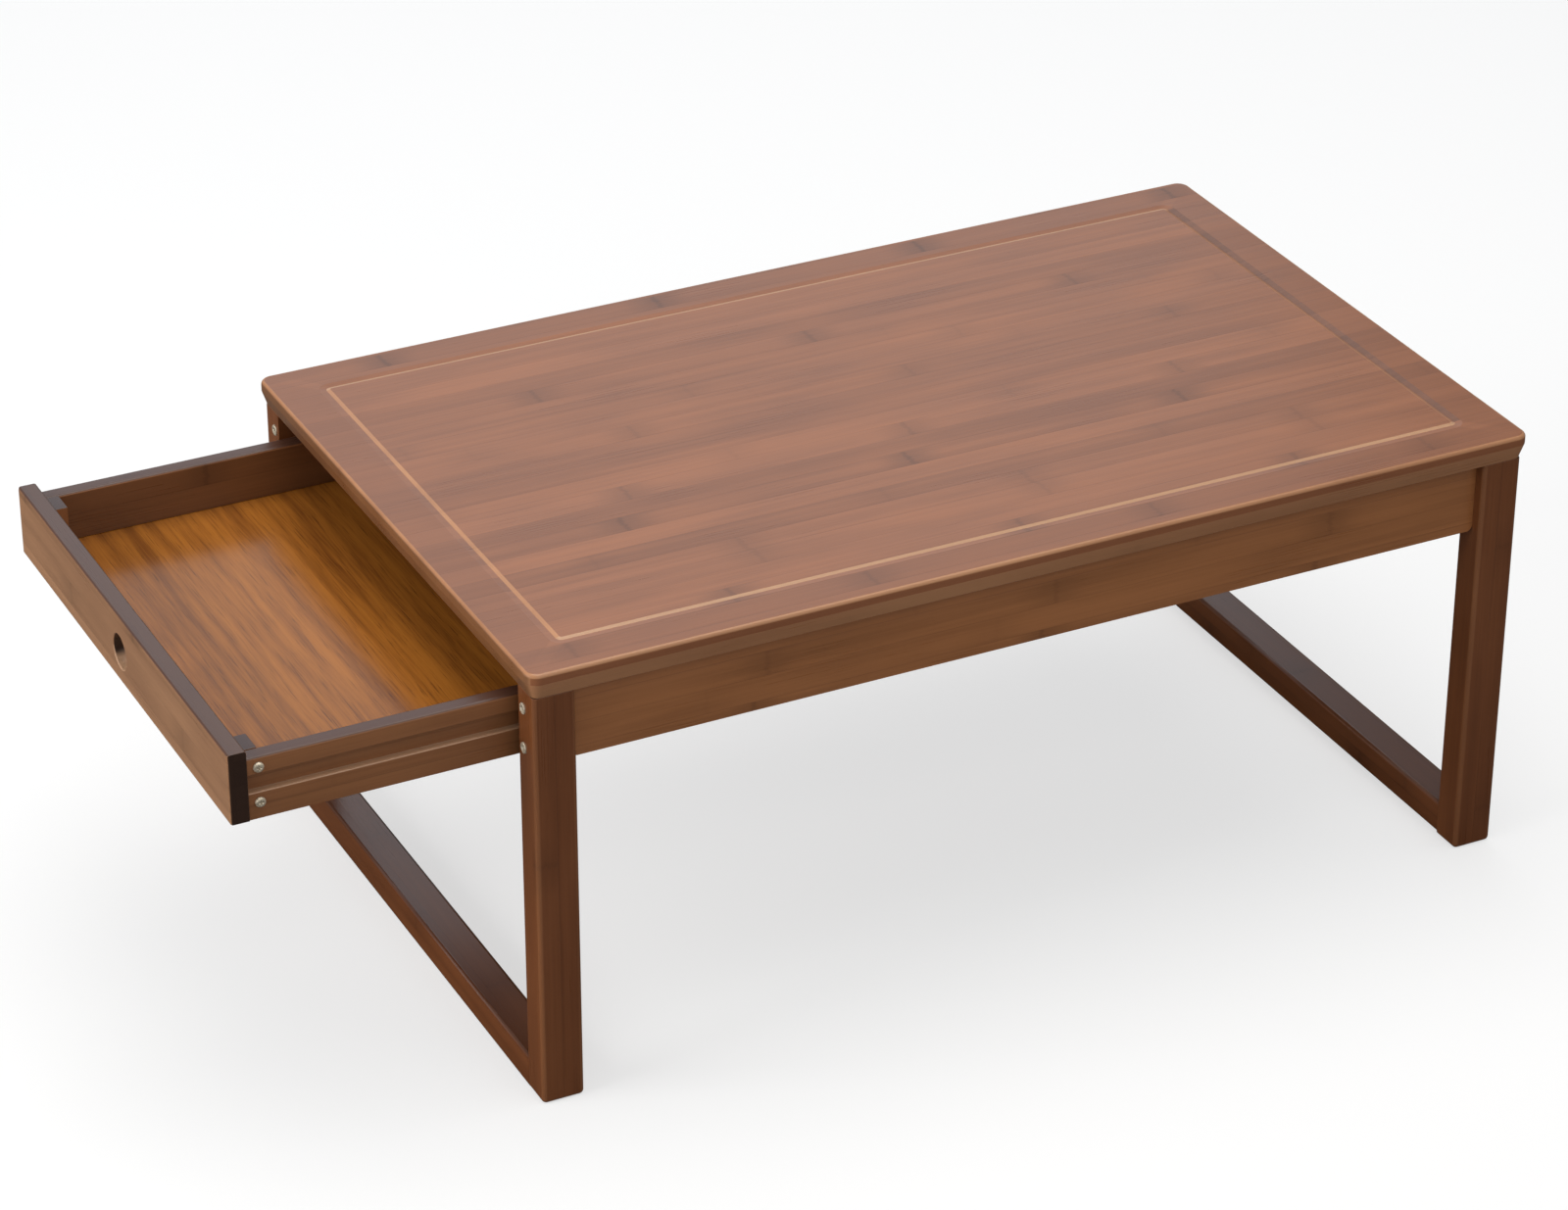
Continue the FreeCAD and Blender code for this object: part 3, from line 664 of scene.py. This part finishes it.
def streaked_board(name, grain, finish):
    """A glossy veneered board with dark streaks across the drawer."""
    look = Look(name)
    axes = grain_axes(look, look.add("ShaderNodeTexCoord"), grain)
    bend = look.pattern(BOARD_BENDS, axes)
    wavy = (axes[0], look.scaled(bend, BEND_REACH, axes[1]), axes[2])
    figure = look.pattern(BOARD_FIGURE, wavy)
    band = look.pattern(BOARD_BANDS, wavy)
    pores = look.pattern(BOARD_PORES, wavy)
    tone = look.total(
        look.swing(figure, FIGURE_SWING), look.swing(pores, PORE_SWING), look.swing(band, BAND_SWING)
    )
    shade = look.mixed(look.rise(tone, *BOARD_TONES), rgba(finish.board_dark), finish.board_light)
    dash = look.fall(pores, *PORE_FADE)
    look.surface(
        Base_Color=look.mixed(look.times(dash, PORE_STAIN), shade, finish.end_grain_and_shade),
        Roughness=look.total(look.swing(figure, BOARD_SWING), finish.board_roughness),
        Normal=look.bump(*BOARD_BUMP, pores),
        Specular_IOR_Level=0.3,
    )
    return look.material


# Patterns on the metal, the values between which tarnish fades, the bump, and how far roughness swings
TARNISH = Pattern((420.0, 420.0, 420.0), 3.0, 0.6, start=1.0)
TURNING_MARKS = Pattern((2600.0, 2600.0, 9000.0), 2.0, 0.5, start=6.0)
TARNISH_FADE = (0.35, 0.7)
METAL_BUMP = (0.1, 0.00005)
METAL_SWING = 0.25


def plated_metal(name, finish):
    """Dull plated steel with fine turning marks and tarnish."""
    look = Look(name)
    place = look.add("ShaderNodeTexCoord").outputs["Object"]
    axes = look.add("ShaderNodeSeparateXYZ", {"Vector": place}).outputs
    tarnish = look.pattern(TARNISH, axes)
    marks = look.pattern(TURNING_MARKS, axes)
    look.surface(
        Base_Color=look.mixed(look.rise(tarnish, *TARNISH_FADE), rgba(finish.metal_tarnish), finish.metal),
        Metallic=0.6,
        Roughness=look.total(look.swing(tarnish, METAL_SWING), finish.metal_roughness),
        Normal=look.bump(*METAL_BUMP, marks),
    )
    return look.material


def made_once(make, name, *details):
    """A material by name, made where it is first asked for."""
    if name not in bpy.data.materials:
        make(name, *details, bpy.context.scene.low_table_finish)
    return bpy.data.materials[name]


def wood_of(kind, grain):
    """The wood of a kind of piece, for each way that its grain runs."""
    return made_once(strip_wood, f"{kind}_wood_{grain.lower()}", kind, grain)


def metal_of():
    """The metal of all bolts, nuts and screws."""
    return made_once(plated_metal, "plated_metal")


def dress(node, material):
    """Gives a CAD node its finish."""
    frame["nodes"][node].material_slots[0].material = material


def slope_underside(bm, sizes):
    """Draws the tabletop's underside in, so that its edge slopes out and up to the nose."""
    low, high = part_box("tabletop")
    nose_z = high.z - sizes.top_nose
    under = min(bm.faces, key=lambda face: face.calc_center_median().z)
    rim = list(under.verts)
    slope = bmesh.ops.inset_individual(
        bm, faces=[under], thickness=sizes.top_overhang, use_even_offset=True
    )["faces"]
    bmesh.ops.translate(bm, vec=AXIS_Z * (nose_z - low.z), verts=rim)
    # The slope and the nose's eased edge are marked paler as painted light bounced up from the floor.
    mark_faces(bm, slope, HANDLED_AND_LIT)
    nose = [edge for edge in bm.edges if all(near(vert.co.z, nose_z) for vert in edge.verts)]
    round_edges(bm, nose, sizes.ease, EASE_STEPS, HANDLED_AND_LIT)


def rounded_sheet(bm, low, high, corner_r, steps):
    """Adds a flat face at the upper corner's height, with round corners, and returns it."""
    verts = bmesh.ops.create_grid(bm, x_segments=1, y_segments=1, size=0.5)["verts"]
    bmesh.ops.scale(bm, vec=(high.x - low.x, high.y - low.y, 1), verts=verts)
    bmesh.ops.translate(bm, vec=((low.x + high.x) / 2, (low.y + high.y) / 2, high.z), verts=verts)
    made = bmesh.ops.bevel(
        bm, geom=verts, offset=corner_r, offset_type="OFFSET", affect="VERTICES",
        segments=steps, profile=0.5, material=-1,
    )
    return made["verts"][0].link_faces[0]


def route_line(bm, sizes):
    """Opens the tabletop's upper face, and closes it again with a routed line and the panel inside it."""
    low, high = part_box("tabletop")
    lid = highest_face(bm)
    rim = list(lid.edges)
    bmesh.ops.delete(bm, geom=[lid], context="FACES_ONLY")
    inset = Vector((1, 1, 0)) * (sizes.line_inset - sizes.line_floor)
    panel = rounded_sheet(bm, low + inset, high - inset, sizes.line_corner_r, sizes.circle_steps // 4)
    border = bmesh.ops.triangle_fill(
        bm, edges=[*rim, *panel.edges], normal=AXIS_Z, use_beauty=True
    )["geom"]
    mark_faces(bm, only(border, bmesh.types.BMFace), 0)
    # Rings from outside in: width, rise, and how bare each is along the grain, at the left and at the right;
    # the right run's marks paint shade, darker than the left's because it faces away from the light
    for width, rise, mark, left_mark, right_mark in (
        (sizes.line_floor, 0, 0, 0, 0),
        (sizes.line_slope, -sizes.line_depth, 0, 0, SHADED),
        (sizes.line_floor, 0, FRESH_CUT_AND_HIGHLIGHT, RUBBED, 0),
        (sizes.line_rise, sizes.line_depth, FRESH_CUT_AND_HIGHLIGHT, RUBBED, HANDLED_AND_LIT),
        (sizes.line_floor, 0, FRESH_CUT_AND_HIGHLIGHT, RUBBED, HANDLED_AND_LIT),
    ):
        walls = bmesh.ops.inset_individual(
            bm, faces=[panel], thickness=width, depth=rise, use_even_offset=True
        )["faces"]
        mark_faces(bm, walls, mark)
        across = [wall for wall in walls if abs(wall.calc_center_median().y) < sizes.line_inset]
        for wall in across:
            mark_faces(bm, [wall], left_mark if wall.calc_center_median().x < 0 else right_mark)


class TABLE_OT_tabletop(bpy.types.Operator):
    """Model the tabletop with its round arris, sloping underside edge and routed line"""

    bl_idname = "lowtable.tabletop"
    bl_label = "Tabletop"

    def execute(self, context):
        sizes = context.scene.low_table_sizes
        low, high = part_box("tabletop")
        bm = start_block(low, high)
        corners = sharp_edges(bm, lambda edge: edge_axis(edge) == "Z")
        round_edges(bm, corners, sizes.top_corner_r, sizes.circle_steps // 4, mark=0)
        slope_underside(bm, sizes)
        arris = sharp_edges(bm, lambda edge: near(middle(edge).z, high.z))
        round_edges(bm, arris, sizes.top_arris_r, sizes.round_steps)
        # The tabletop's left end is marked paler as painted light and reflection from the left.
        left_x = low.x + sizes.top_arris_r
        mark_faces(bm, [face for face in bm.faces if face.calc_center_median().x < left_x], HANDLED_AND_LIT)
        ease_rest(bm, sizes)
        route_line(bm, sizes)
        border = bm.verts.layers.float.new(BORDER)
        for vert in bm.verts:
            inset = min(vert.co.x - low.x, high.x - vert.co.x, vert.co.y - low.y, high.y - vert.co.y)
            vert[border] = float(inset < sizes.line_inset)
        finish_piece(bm, "tabletop_board", "tabletop", "table", wood_of("top", "X"))
        return {"FINISHED"}


def bolt_centres(end):
    """The middles of the bolt heads at one end, on the legs' outer face, by side."""
    sizes = bpy.context.scene.low_table_sizes
    low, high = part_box(f"apron_bolts_{end}")
    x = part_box(f"leg_front_{end}")[0 if ENDS[end] < 0 else 1].x
    y = high.y - sizes.bolt_head_r
    heights = (low.z + sizes.bolt_head_r, high.z - sizes.bolt_head_r)
    return {side: [Vector((x, sign * y, z)) for z in heights] for side, sign in SIDES.items()}


def make_leg(sizes, end, side):
    """Models one leg."""
    name = f"leg_{side}_{end}"
    low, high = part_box(name)
    outer_y = high.y if SIDES[side] > 0 else low.y

    def is_round(edge):
        place, axis = middle(edge), edge_axis(edge)
        foot = near(place.z, low.z) and (axis == "Y" or near(place.y, outer_y))
        return foot or (axis == "Z" and near(place.y, outer_y))

    bm = start_block(low, high)
    round_edges(bm, sharp_edges(bm, is_round), sizes.leg_round, sizes.round_steps)
    ease_rest(bm, sizes)
    for centre in bolt_centres(end)[side]:
        seat = round_patch(bm, AXIS_X * ENDS[end], centre, sizes.bolt_seat_r, sizes.circle_steps)
        sink_face(bm, seat, sizes.bolt_seat_depth)
    finish_piece(bm, f"{name}_post", name, "table", wood_of("leg", "Z"))


class TABLE_OT_legs(bpy.types.Operator):
    """Model the four legs with round outer edges, eased feet and the seats of their bolts"""

    bl_idname = "lowtable.legs"
    bl_label = "Legs"

    def execute(self, context):
        for end in ENDS:
            for side in SIDES:
                make_leg(context.scene.low_table_sizes, end, side)
        return {"FINISHED"}


def between_legs(name, end):
    """A node's box, less the tenons that its two legs hold."""
    low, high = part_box(name)
    low.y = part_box(f"leg_front_{end}")[1].y
    high.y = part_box(f"leg_back_{end}")[0].y
    return low, high


class TABLE_OT_foot_rails(bpy.types.Operator):
    """Model the two rails that join the feet of each pair of legs"""

    bl_idname = "lowtable.foot_rails"
    bl_label = "Foot rails"

    def execute(self, context):
        sizes = context.scene.low_table_sizes
        for end in ENDS:
            name = f"foot_rail_{end}"
            bm = start_block(*between_legs(name, end))
            long_edges = sharp_edges(bm, lambda edge: edge_axis(edge) == "Y")
            round_edges(bm, long_edges, sizes.rail_round, sizes.round_steps)
            finish_piece(bm, f"{name}_bar", name, "table", wood_of("rail", "Y"))
        return {"FINISHED"}


def make_apron(sizes, name, low, high, grain, corner_r):
    """Models one apron with eased lower edges, and with round lower corners where a radius is given."""
    across = "Y" if grain == "X" else "X"
    bm = start_block(low, high)

    def lower_edges(axis):
        return sharp_edges(bm, lambda edge: edge_axis(edge) == axis and near(middle(edge).z, low.z))

    if corner_r:
        round_edges(bm, lower_edges(across), corner_r, sizes.round_steps)
    round_edges(bm, lower_edges(grain), sizes.apron_ease, sizes.round_steps)
    finish_piece(bm, f"{name}_board", name, "table", wood_of("apron", grain))


class TABLE_OT_aprons(bpy.types.Operator):
    """Model the aprons along both sides and across the right end"""

    bl_idname = "lowtable.aprons"
    bl_label = "Aprons"

    def execute(self, context):
        sizes = context.scene.low_table_sizes
        for side in SIDES:
            name = f"apron_{side}"
            make_apron(sizes, name, *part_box(name), "X", sizes.apron_corner_r)
        make_apron(sizes, "apron_right", *between_legs("apron_right", "right"), "Y", 0)
        return {"FINISHED"}


def six_sides(corner_r, turn):
    """How far a six-sided socket reaches at an angle."""
    sixth = math.pi / 3
    return corner_r * math.cos(sixth / 2) / math.cos(turn % sixth - sixth / 2)


def cross_arms(half_length, half_width, turn):
    """How far a cross slot reaches at an angle."""
    along = max(abs(math.cos(turn)), TINY)
    across = max(abs(math.sin(turn)), TINY)
    first_arm = min(half_length / along, half_width / across)
    second_arm = min(half_length / across, half_width / along)
    return max(first_arm, second_arm)


def add_heads(bm, crowns, radius, height, edge_r, reach, depth, sizes):
    """Adds a round head under each crown point, with a recess that reaches so far at each angle."""
    bmesh.ops.create_cone(
        bm, cap_ends=True, segments=sizes.circle_steps, radius1=radius, radius2=radius, depth=height
    )
    bmesh.ops.translate(bm, vec=-AXIS_Z * height / 2, verts=bm.verts)
    rim = sharp_edges(bm, lambda edge: near(middle(edge).z, 0))
    round_edges(bm, rim, edge_r, sizes.round_steps)
    crown = highest_face(bm)
    bmesh.ops.inset_individual(bm, faces=[crown], thickness=edge_r * RECESS_START)
    for vert in crown.verts:
        vert.co = vert.co.normalized() * reach(math.atan2(vert.co.y, vert.co.x))
    sink_face(bm, crown, depth)
    first = [*bm.verts, *bm.edges, *bm.faces]
    for place, outward in crowns:
        made = bmesh.ops.duplicate(bm, geom=first)["geom"]
        to_place = Matrix.Translation(place) @ outward.to_track_quat("Z", "Y").to_matrix().to_4x4()
        bmesh.ops.transform(bm, matrix=to_place, verts=only(made, bmesh.types.BMVert))
    bmesh.ops.delete(bm, geom=only(first, bmesh.types.BMVert), context="VERTS")


class TABLE_OT_bolts(bpy.types.Operator):
    """Model the bolt heads in the legs, each with its six-sided socket"""

    bl_idname = "lowtable.bolts"
    bl_label = "Bolts"

    def execute(self, context):
        sizes = context.scene.low_table_sizes
        height = sizes.bolt_head_proud + sizes.bolt_seat_depth
        for end, sign in ENDS.items():
            name = f"apron_bolts_{end}"
            outward = AXIS_X * sign
            crowns = [
                (centre + outward * sizes.bolt_head_proud, outward)
                for centres in bolt_centres(end).values() for centre in centres
            ]
            bm = start_piece()
            add_heads(
                bm, crowns, sizes.bolt_head_r, height, sizes.bolt_head_proud,
                lambda turn: six_sides(sizes.bolt_socket_r, turn), sizes.bolt_socket_depth, sizes,
            )
            finish_piece(bm, f"{name}_heads", name, "table", metal_of())
        return {"FINISHED"}


class TABLE_OT_carpentry(bpy.types.Operator):
    """Finish the cleats, battens, runners and catch that hide under the top, and their fixings"""

    bl_idname = "lowtable.carpentry"
    bl_label = "Hidden carpentry"

    def execute(self, context):
        for node in ("cleat_front", "cleat_back", "runner_front", "runner_back"):
            dress(node, wood_of("plain", "X"))
        for node in ("stop_batten", "rear_batten", "drawer_catch"):
            dress(node, wood_of("plain", "Y"))
        for node in ("barrel_nuts", "top_screws", "runner_screws", "catch_screws"):
            dress(node, metal_of())
        return {"FINISHED"}


def pierce(bm, low, high, centre, sizes):
    """Cuts a round hole through the drawer front, with round lips and a painted sheen on its lower wall."""
    loops = []
    for x, sign in ((low.x, -1), (high.x, 1)):
        mouth_centre = Vector((x, centre.y, centre.z))
        mouth = round_patch(bm, AXIS_X * sign, mouth_centre, sizes.hole_r, sizes.circle_steps)
        loops += list(mouth.edges)
        bmesh.ops.delete(bm, geom=[mouth], context="FACES_ONLY")
    bmesh.ops.bridge_loops(bm, edges=loops)
    round_edges(bm, loops, sizes.hole_lip, sizes.round_steps)
    reach = sizes.hole_r + sizes.hole_lip

    def has_painted_sheen(face):
        away = face.calc_center_median() - centre
        return away.z < 0 and away.yz.length < reach and abs(face.normal.x) < SAME_WAY

    # The lower wall is marked pale as a painted sheen.
    mark_faces(bm, filter(has_painted_sheen, bm.faces), FRESH_CUT_AND_HIGHLIGHT)


class TABLE_OT_drawer_front(bpy.types.Operator):
    """Model the drawer front with round edges and its finger hole"""

    bl_idname = "lowtable.drawer_front"
    bl_label = "Drawer front"

    def execute(self, context):
        sizes = context.scene.low_table_sizes
        low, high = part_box("drawer_front")
        openings = frame["record"]["physics"]["openings"]
        hole = next(opening for opening in openings if opening["name"] == "finger_hole")
        centre = (Vector(hole["box_m"][0]) + Vector(hole["box_m"][1])) / 2

        def is_shown(edge):
            place = middle(edge)
            return near(place.x, low.x) or (near(place.z, high.z) and edge_axis(edge) == "Y")

        bm = start_block(low, high)
        round_edges(bm, sharp_edges(bm, is_shown), sizes.front_round, sizes.round_steps)
        ease_rest(bm, sizes)
        pierce(bm, low, high, centre, sizes)
        finish_piece(
            bm, "drawer_front_board", "drawer_front", "drawer", wood_of("front", "Y")
        )
        return {"FINISHED"}


def side_outline(sizes, side):
    """The section of a drawer side with its two grooves, as places across and up."""
    low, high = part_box(f"drawer_side_{side}")
    board_low, board_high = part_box("drawer_bottom")
    sign = SIDES[side]
    outer, inner = (high.y, low.y) if sign > 0 else (low.y, high.y)
    groove_y = outer - sign * sizes.groove_depth
    groove_top = high.z - sizes.groove_from_top
    groove_low = groove_top - sizes.groove_height
    board_y = inner + sign * sizes.floor_groove
    board_top = board_high.z + sizes.floor_play
    return [
        (outer, low.z), (outer, groove_low), (groove_y, groove_low), (groove_y, groove_top),
        (outer, groove_top), (outer, high.z), (inner, high.z), (inner, board_top),
        (board_y, board_top), (board_y, board_low.z), (inner, board_low.z), (inner, low.z),
    ]


def make_drawer_side(sizes, side):
    """Models one side of the drawer."""
    name = f"drawer_side_{side}"
    low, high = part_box(name)
    outline = side_outline(sizes, side)
    outer, ledge_z = outline[1]
    inner = outline[-1][0]
    bm = start_piece()
    extruded(bm, [(low.x, y, z) for y, z in outline], AXIS_X * (high.x - low.x))
    # The inner faces are marked as painted shade, darker inside the drawer.
    mark_faces(bm, [face for face in bm.faces if near(face.calc_center_median().y, inner)], SHADED)

    def is_top(edge):
        return near(middle(edge).z, high.z) and edge_axis(edge) == "X"

    def is_ledge(edge):
        return near(middle(edge).z, ledge_z) and near(middle(edge).y, outer) and edge_axis(edge) == "X"

    def on_lit_ledge(face):
        rise = face.calc_center_median().z - ledge_z
        return face.normal.z > UPWARD and -sizes.ledge_round < rise < 2 * sizes.ease

    round_edges(bm, sharp_edges(bm, is_top), sizes.side_round, sizes.round_steps)
    # The ledge's rounded edge and upper faces are marked pale as a painted highlight along the groove.
    round_edges(bm, sharp_edges(bm, is_ledge), sizes.ledge_round, sizes.round_steps, FRESH_CUT_AND_HIGHLIGHT)
    ease_rest(bm, sizes)
    mark_faces(bm, filter(on_lit_ledge, bm.faces), FRESH_CUT_AND_HIGHLIGHT)
    finish_piece(bm, f"{name}_board", name, "drawer", wood_of("drawer", "X"))


def make_drawer_board(sizes, name, material):
    """Models one plain board of the drawer with eased edges."""
    bm = start_block(*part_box(name))
    ease_rest(bm, sizes)
    finish_piece(bm, f"{name}_board", name, "drawer", material)


class TABLE_OT_drawer_box(bpy.types.Operator):
    """Model the drawer's sides with their grooves, its back, corner blocks and bottom board"""

    bl_idname = "lowtable.drawer_box"
    bl_label = "Drawer box"

    def execute(self, context):
        sizes = context.scene.low_table_sizes
        for side in SIDES:
            make_drawer_side(sizes, side)
            make_drawer_board(sizes, f"drawer_corner_block_{side}", wood_of("drawer", "Z"))
        make_drawer_board(sizes, "drawer_back", wood_of("drawer", "Y"))
        board = made_once(streaked_board, "streaked_board", "Y")
        make_drawer_board(sizes, "drawer_bottom", board)
        return {"FINISHED"}


class TABLE_OT_drawer_screws(bpy.types.Operator):
    """Model the pan heads of the screws in the drawer's sides"""

    bl_idname = "lowtable.drawer_screws"
    bl_label = "Drawer screws"

    def execute(self, context):
        sizes = context.scene.low_table_sizes
        low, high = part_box("drawer_screws")
        radius = sizes.screw_head_r
        crowns = [
            (Vector((x, y, z)), AXIS_Y * sign)
            for y, sign in ((low.y, -1), (high.y, 1))
            for x in (low.x + radius, high.x - radius)
            for z in (low.z + radius, high.z - radius)
        ]
        bm = start_piece()
        add_heads(
            bm, crowns, radius, sizes.screw_head_height, sizes.screw_head_round,
            lambda turn: cross_arms(sizes.screw_slot_length / 2, sizes.screw_slot / 2, turn),
            sizes.screw_slot_depth, sizes,
        )
        finish_piece(bm, "drawer_screw_heads", "drawer_screws", "drawer", metal_of())
        return {"FINISHED"}


def lay_floor(scene, stage):
    """Lays a pale floor, lifted out of shadow for the camera and dim in the lacquer's reflections."""
    bm = bmesh.new()
    bmesh.ops.create_grid(
        bm, x_segments=FLOOR_SQUARES, y_segments=FLOOR_SQUARES, size=stage.floor_size / 2
    )
    mesh = bpy.data.meshes.new("floor")
    bm.to_mesh(mesh)
    bm.free()
    floor = bpy.data.objects.new("floor", mesh)
    scene.collection.objects.link(floor)
    look = Look("pale_floor")
    path = look.add("ShaderNodeLightPath").outputs
    tones = (stage.floor_bounce, stage.floor_mirrored, stage.floor_shown * (1 - stage.floor_glow))
    bounced, mirrored, shown = (rgba((tone, tone, tone)) for tone in tones)
    tone = look.mixed(path["Is Glossy Ray"], bounced, mirrored)
    look.surface(
        Base_Color=look.mixed(path["Is Camera Ray"], tone, shown),
        Emission_Color=(1.0, 1.0, 1.0, 1.0),
        Emission_Strength=look.times(path["Is Camera Ray"], stage.floor_glow),
        Roughness=0.9,
        Specular_IOR_Level=0.0,
    )
    mesh.materials.append(look.material)


def light_room(scene, stage):
    """Lights the room dimly from all round, and shows it pale to the camera."""
    world = bpy.data.worlds.new("studio")
    world.use_nodes = True
    tree = world.node_tree
    background = tree.nodes["Background"]
    background.inputs["Color"].default_value = rgba(stage.room_tint)
    path = tree.nodes.new("ShaderNodeLightPath")
    strength = tree.nodes.new("ShaderNodeMath")
    strength.operation = "MULTIPLY_ADD"
    strength.inputs[1].default_value = stage.room_shown - stage.room_light
    strength.inputs[2].default_value = stage.room_light
    tree.links.new(path.outputs["Is Camera Ray"], strength.inputs[0])
    tree.links.new(strength.outputs[0], background.inputs["Strength"])
    scene.world = world
    scene.view_settings.view_transform = "Standard"


def hang_lamps(scene):
    """Hangs the softboxes round the table."""
    for name, (place, size, power, tint, mirrored) in LAMPS.items():
        light = bpy.data.lights.new(name, "AREA")
        light.shape = "RECTANGLE"
        light.size, light.size_y = size
        light.energy = power
        light.color = tint
        lamp = bpy.data.objects.new(name, light)
        lamp.location = place
        lamp.rotation_euler = (LAMPS_AIM - Vector(place)).to_track_quat("-Z", "Y").to_euler()
        lamp.visible_glossy = mirrored
        lamp.visible_camera = False
        scene.collection.objects.link(lamp)


def stand_camera(scene, stage):
    """Stands the camera where the table is seen from its front left, from above."""
    data = bpy.data.cameras.new("camera")
    data.sensor_width = stage.camera_sensor
    data.lens = stage.camera_lens
    camera = bpy.data.objects.new("camera", data)
    turn = Matrix.Rotation(-stage.camera_yaw, 4, "Z")
    tilt = Matrix.Rotation(math.pi / 2 - stage.camera_pitch, 4, "X")
    lean = Matrix.Rotation(stage.camera_roll, 4, "Z")
    camera.matrix_world = Matrix.Translation(stage.camera_place) @ turn @ tilt @ lean
    scene.collection.objects.link(camera)
    scene.camera = camera


class TABLE_OT_stage(bpy.types.Operator):
    """Lay the pale floor, light the room, hang the softboxes and stand the camera"""

    bl_idname = "lowtable.stage"
    bl_label = "Stage"

    def execute(self, context):
        stage = context.scene.low_table_stage
        lay_floor(context.scene, stage)
        light_room(context.scene, stage)
        hang_lamps(context.scene)
        stand_camera(context.scene, stage)
        return {"FINISHED"}


OPERATORS = (
    TABLE_OT_tabletop,
    TABLE_OT_legs,
    TABLE_OT_foot_rails,
    TABLE_OT_aprons,
    TABLE_OT_bolts,
    TABLE_OT_carpentry,
    TABLE_OT_drawer_front,
    TABLE_OT_drawer_box,
    TABLE_OT_drawer_screws,
    TABLE_OT_stage,
)
GROUPS = {"low_table_sizes": TableSizes, "low_table_finish": TableFinish, "low_table_stage": TableStage}


class TABLE_PT_panel(bpy.types.Panel):
    """List the operators, sizes, finishes and stage in the 3D view's sidebar"""

    bl_idname = "TABLE_PT_panel"
    bl_label = "Low table"
    bl_space_type = "VIEW_3D"
    bl_region_type = "UI"
    bl_category = "Low table"

    def draw(self, context):
        for operator in OPERATORS:
            self.layout.operator(operator.bl_idname)
        for group_name, group in GROUPS.items():
            box = self.layout.box()
            for name in group.__annotations__:
                box.prop(getattr(context.scene, group_name), name)


def register():
    """Adds the sizes, finishes and stage to the scene, and the operators and the panel to Blender."""
    for name, group in GROUPS.items():
        bpy.utils.register_class(group)
        setattr(bpy.types.Scene, name, PointerProperty(type=group))
    for cls in (*OPERATORS, TABLE_PT_panel):
        bpy.utils.register_class(cls)


def unregister():
    """Takes away what register added."""
    for cls in (TABLE_PT_panel, *reversed(OPERATORS)):
        bpy.utils.unregister_class(cls)
    for name, group in GROUPS.items():
        delattr(bpy.types.Scene, name)
        bpy.utils.unregister_class(group)


def main():
    register()
    bpy.ops.lowtable.tabletop()
    bpy.ops.lowtable.legs()
    bpy.ops.lowtable.foot_rails()
    bpy.ops.lowtable.aprons()
    bpy.ops.lowtable.bolts()
    bpy.ops.lowtable.carpentry()
    bpy.ops.lowtable.drawer_front()
    bpy.ops.lowtable.drawer_box()
    bpy.ops.lowtable.drawer_screws()
    bpy.ops.lowtable.stage()


if __name__ == "__main__":
    main()
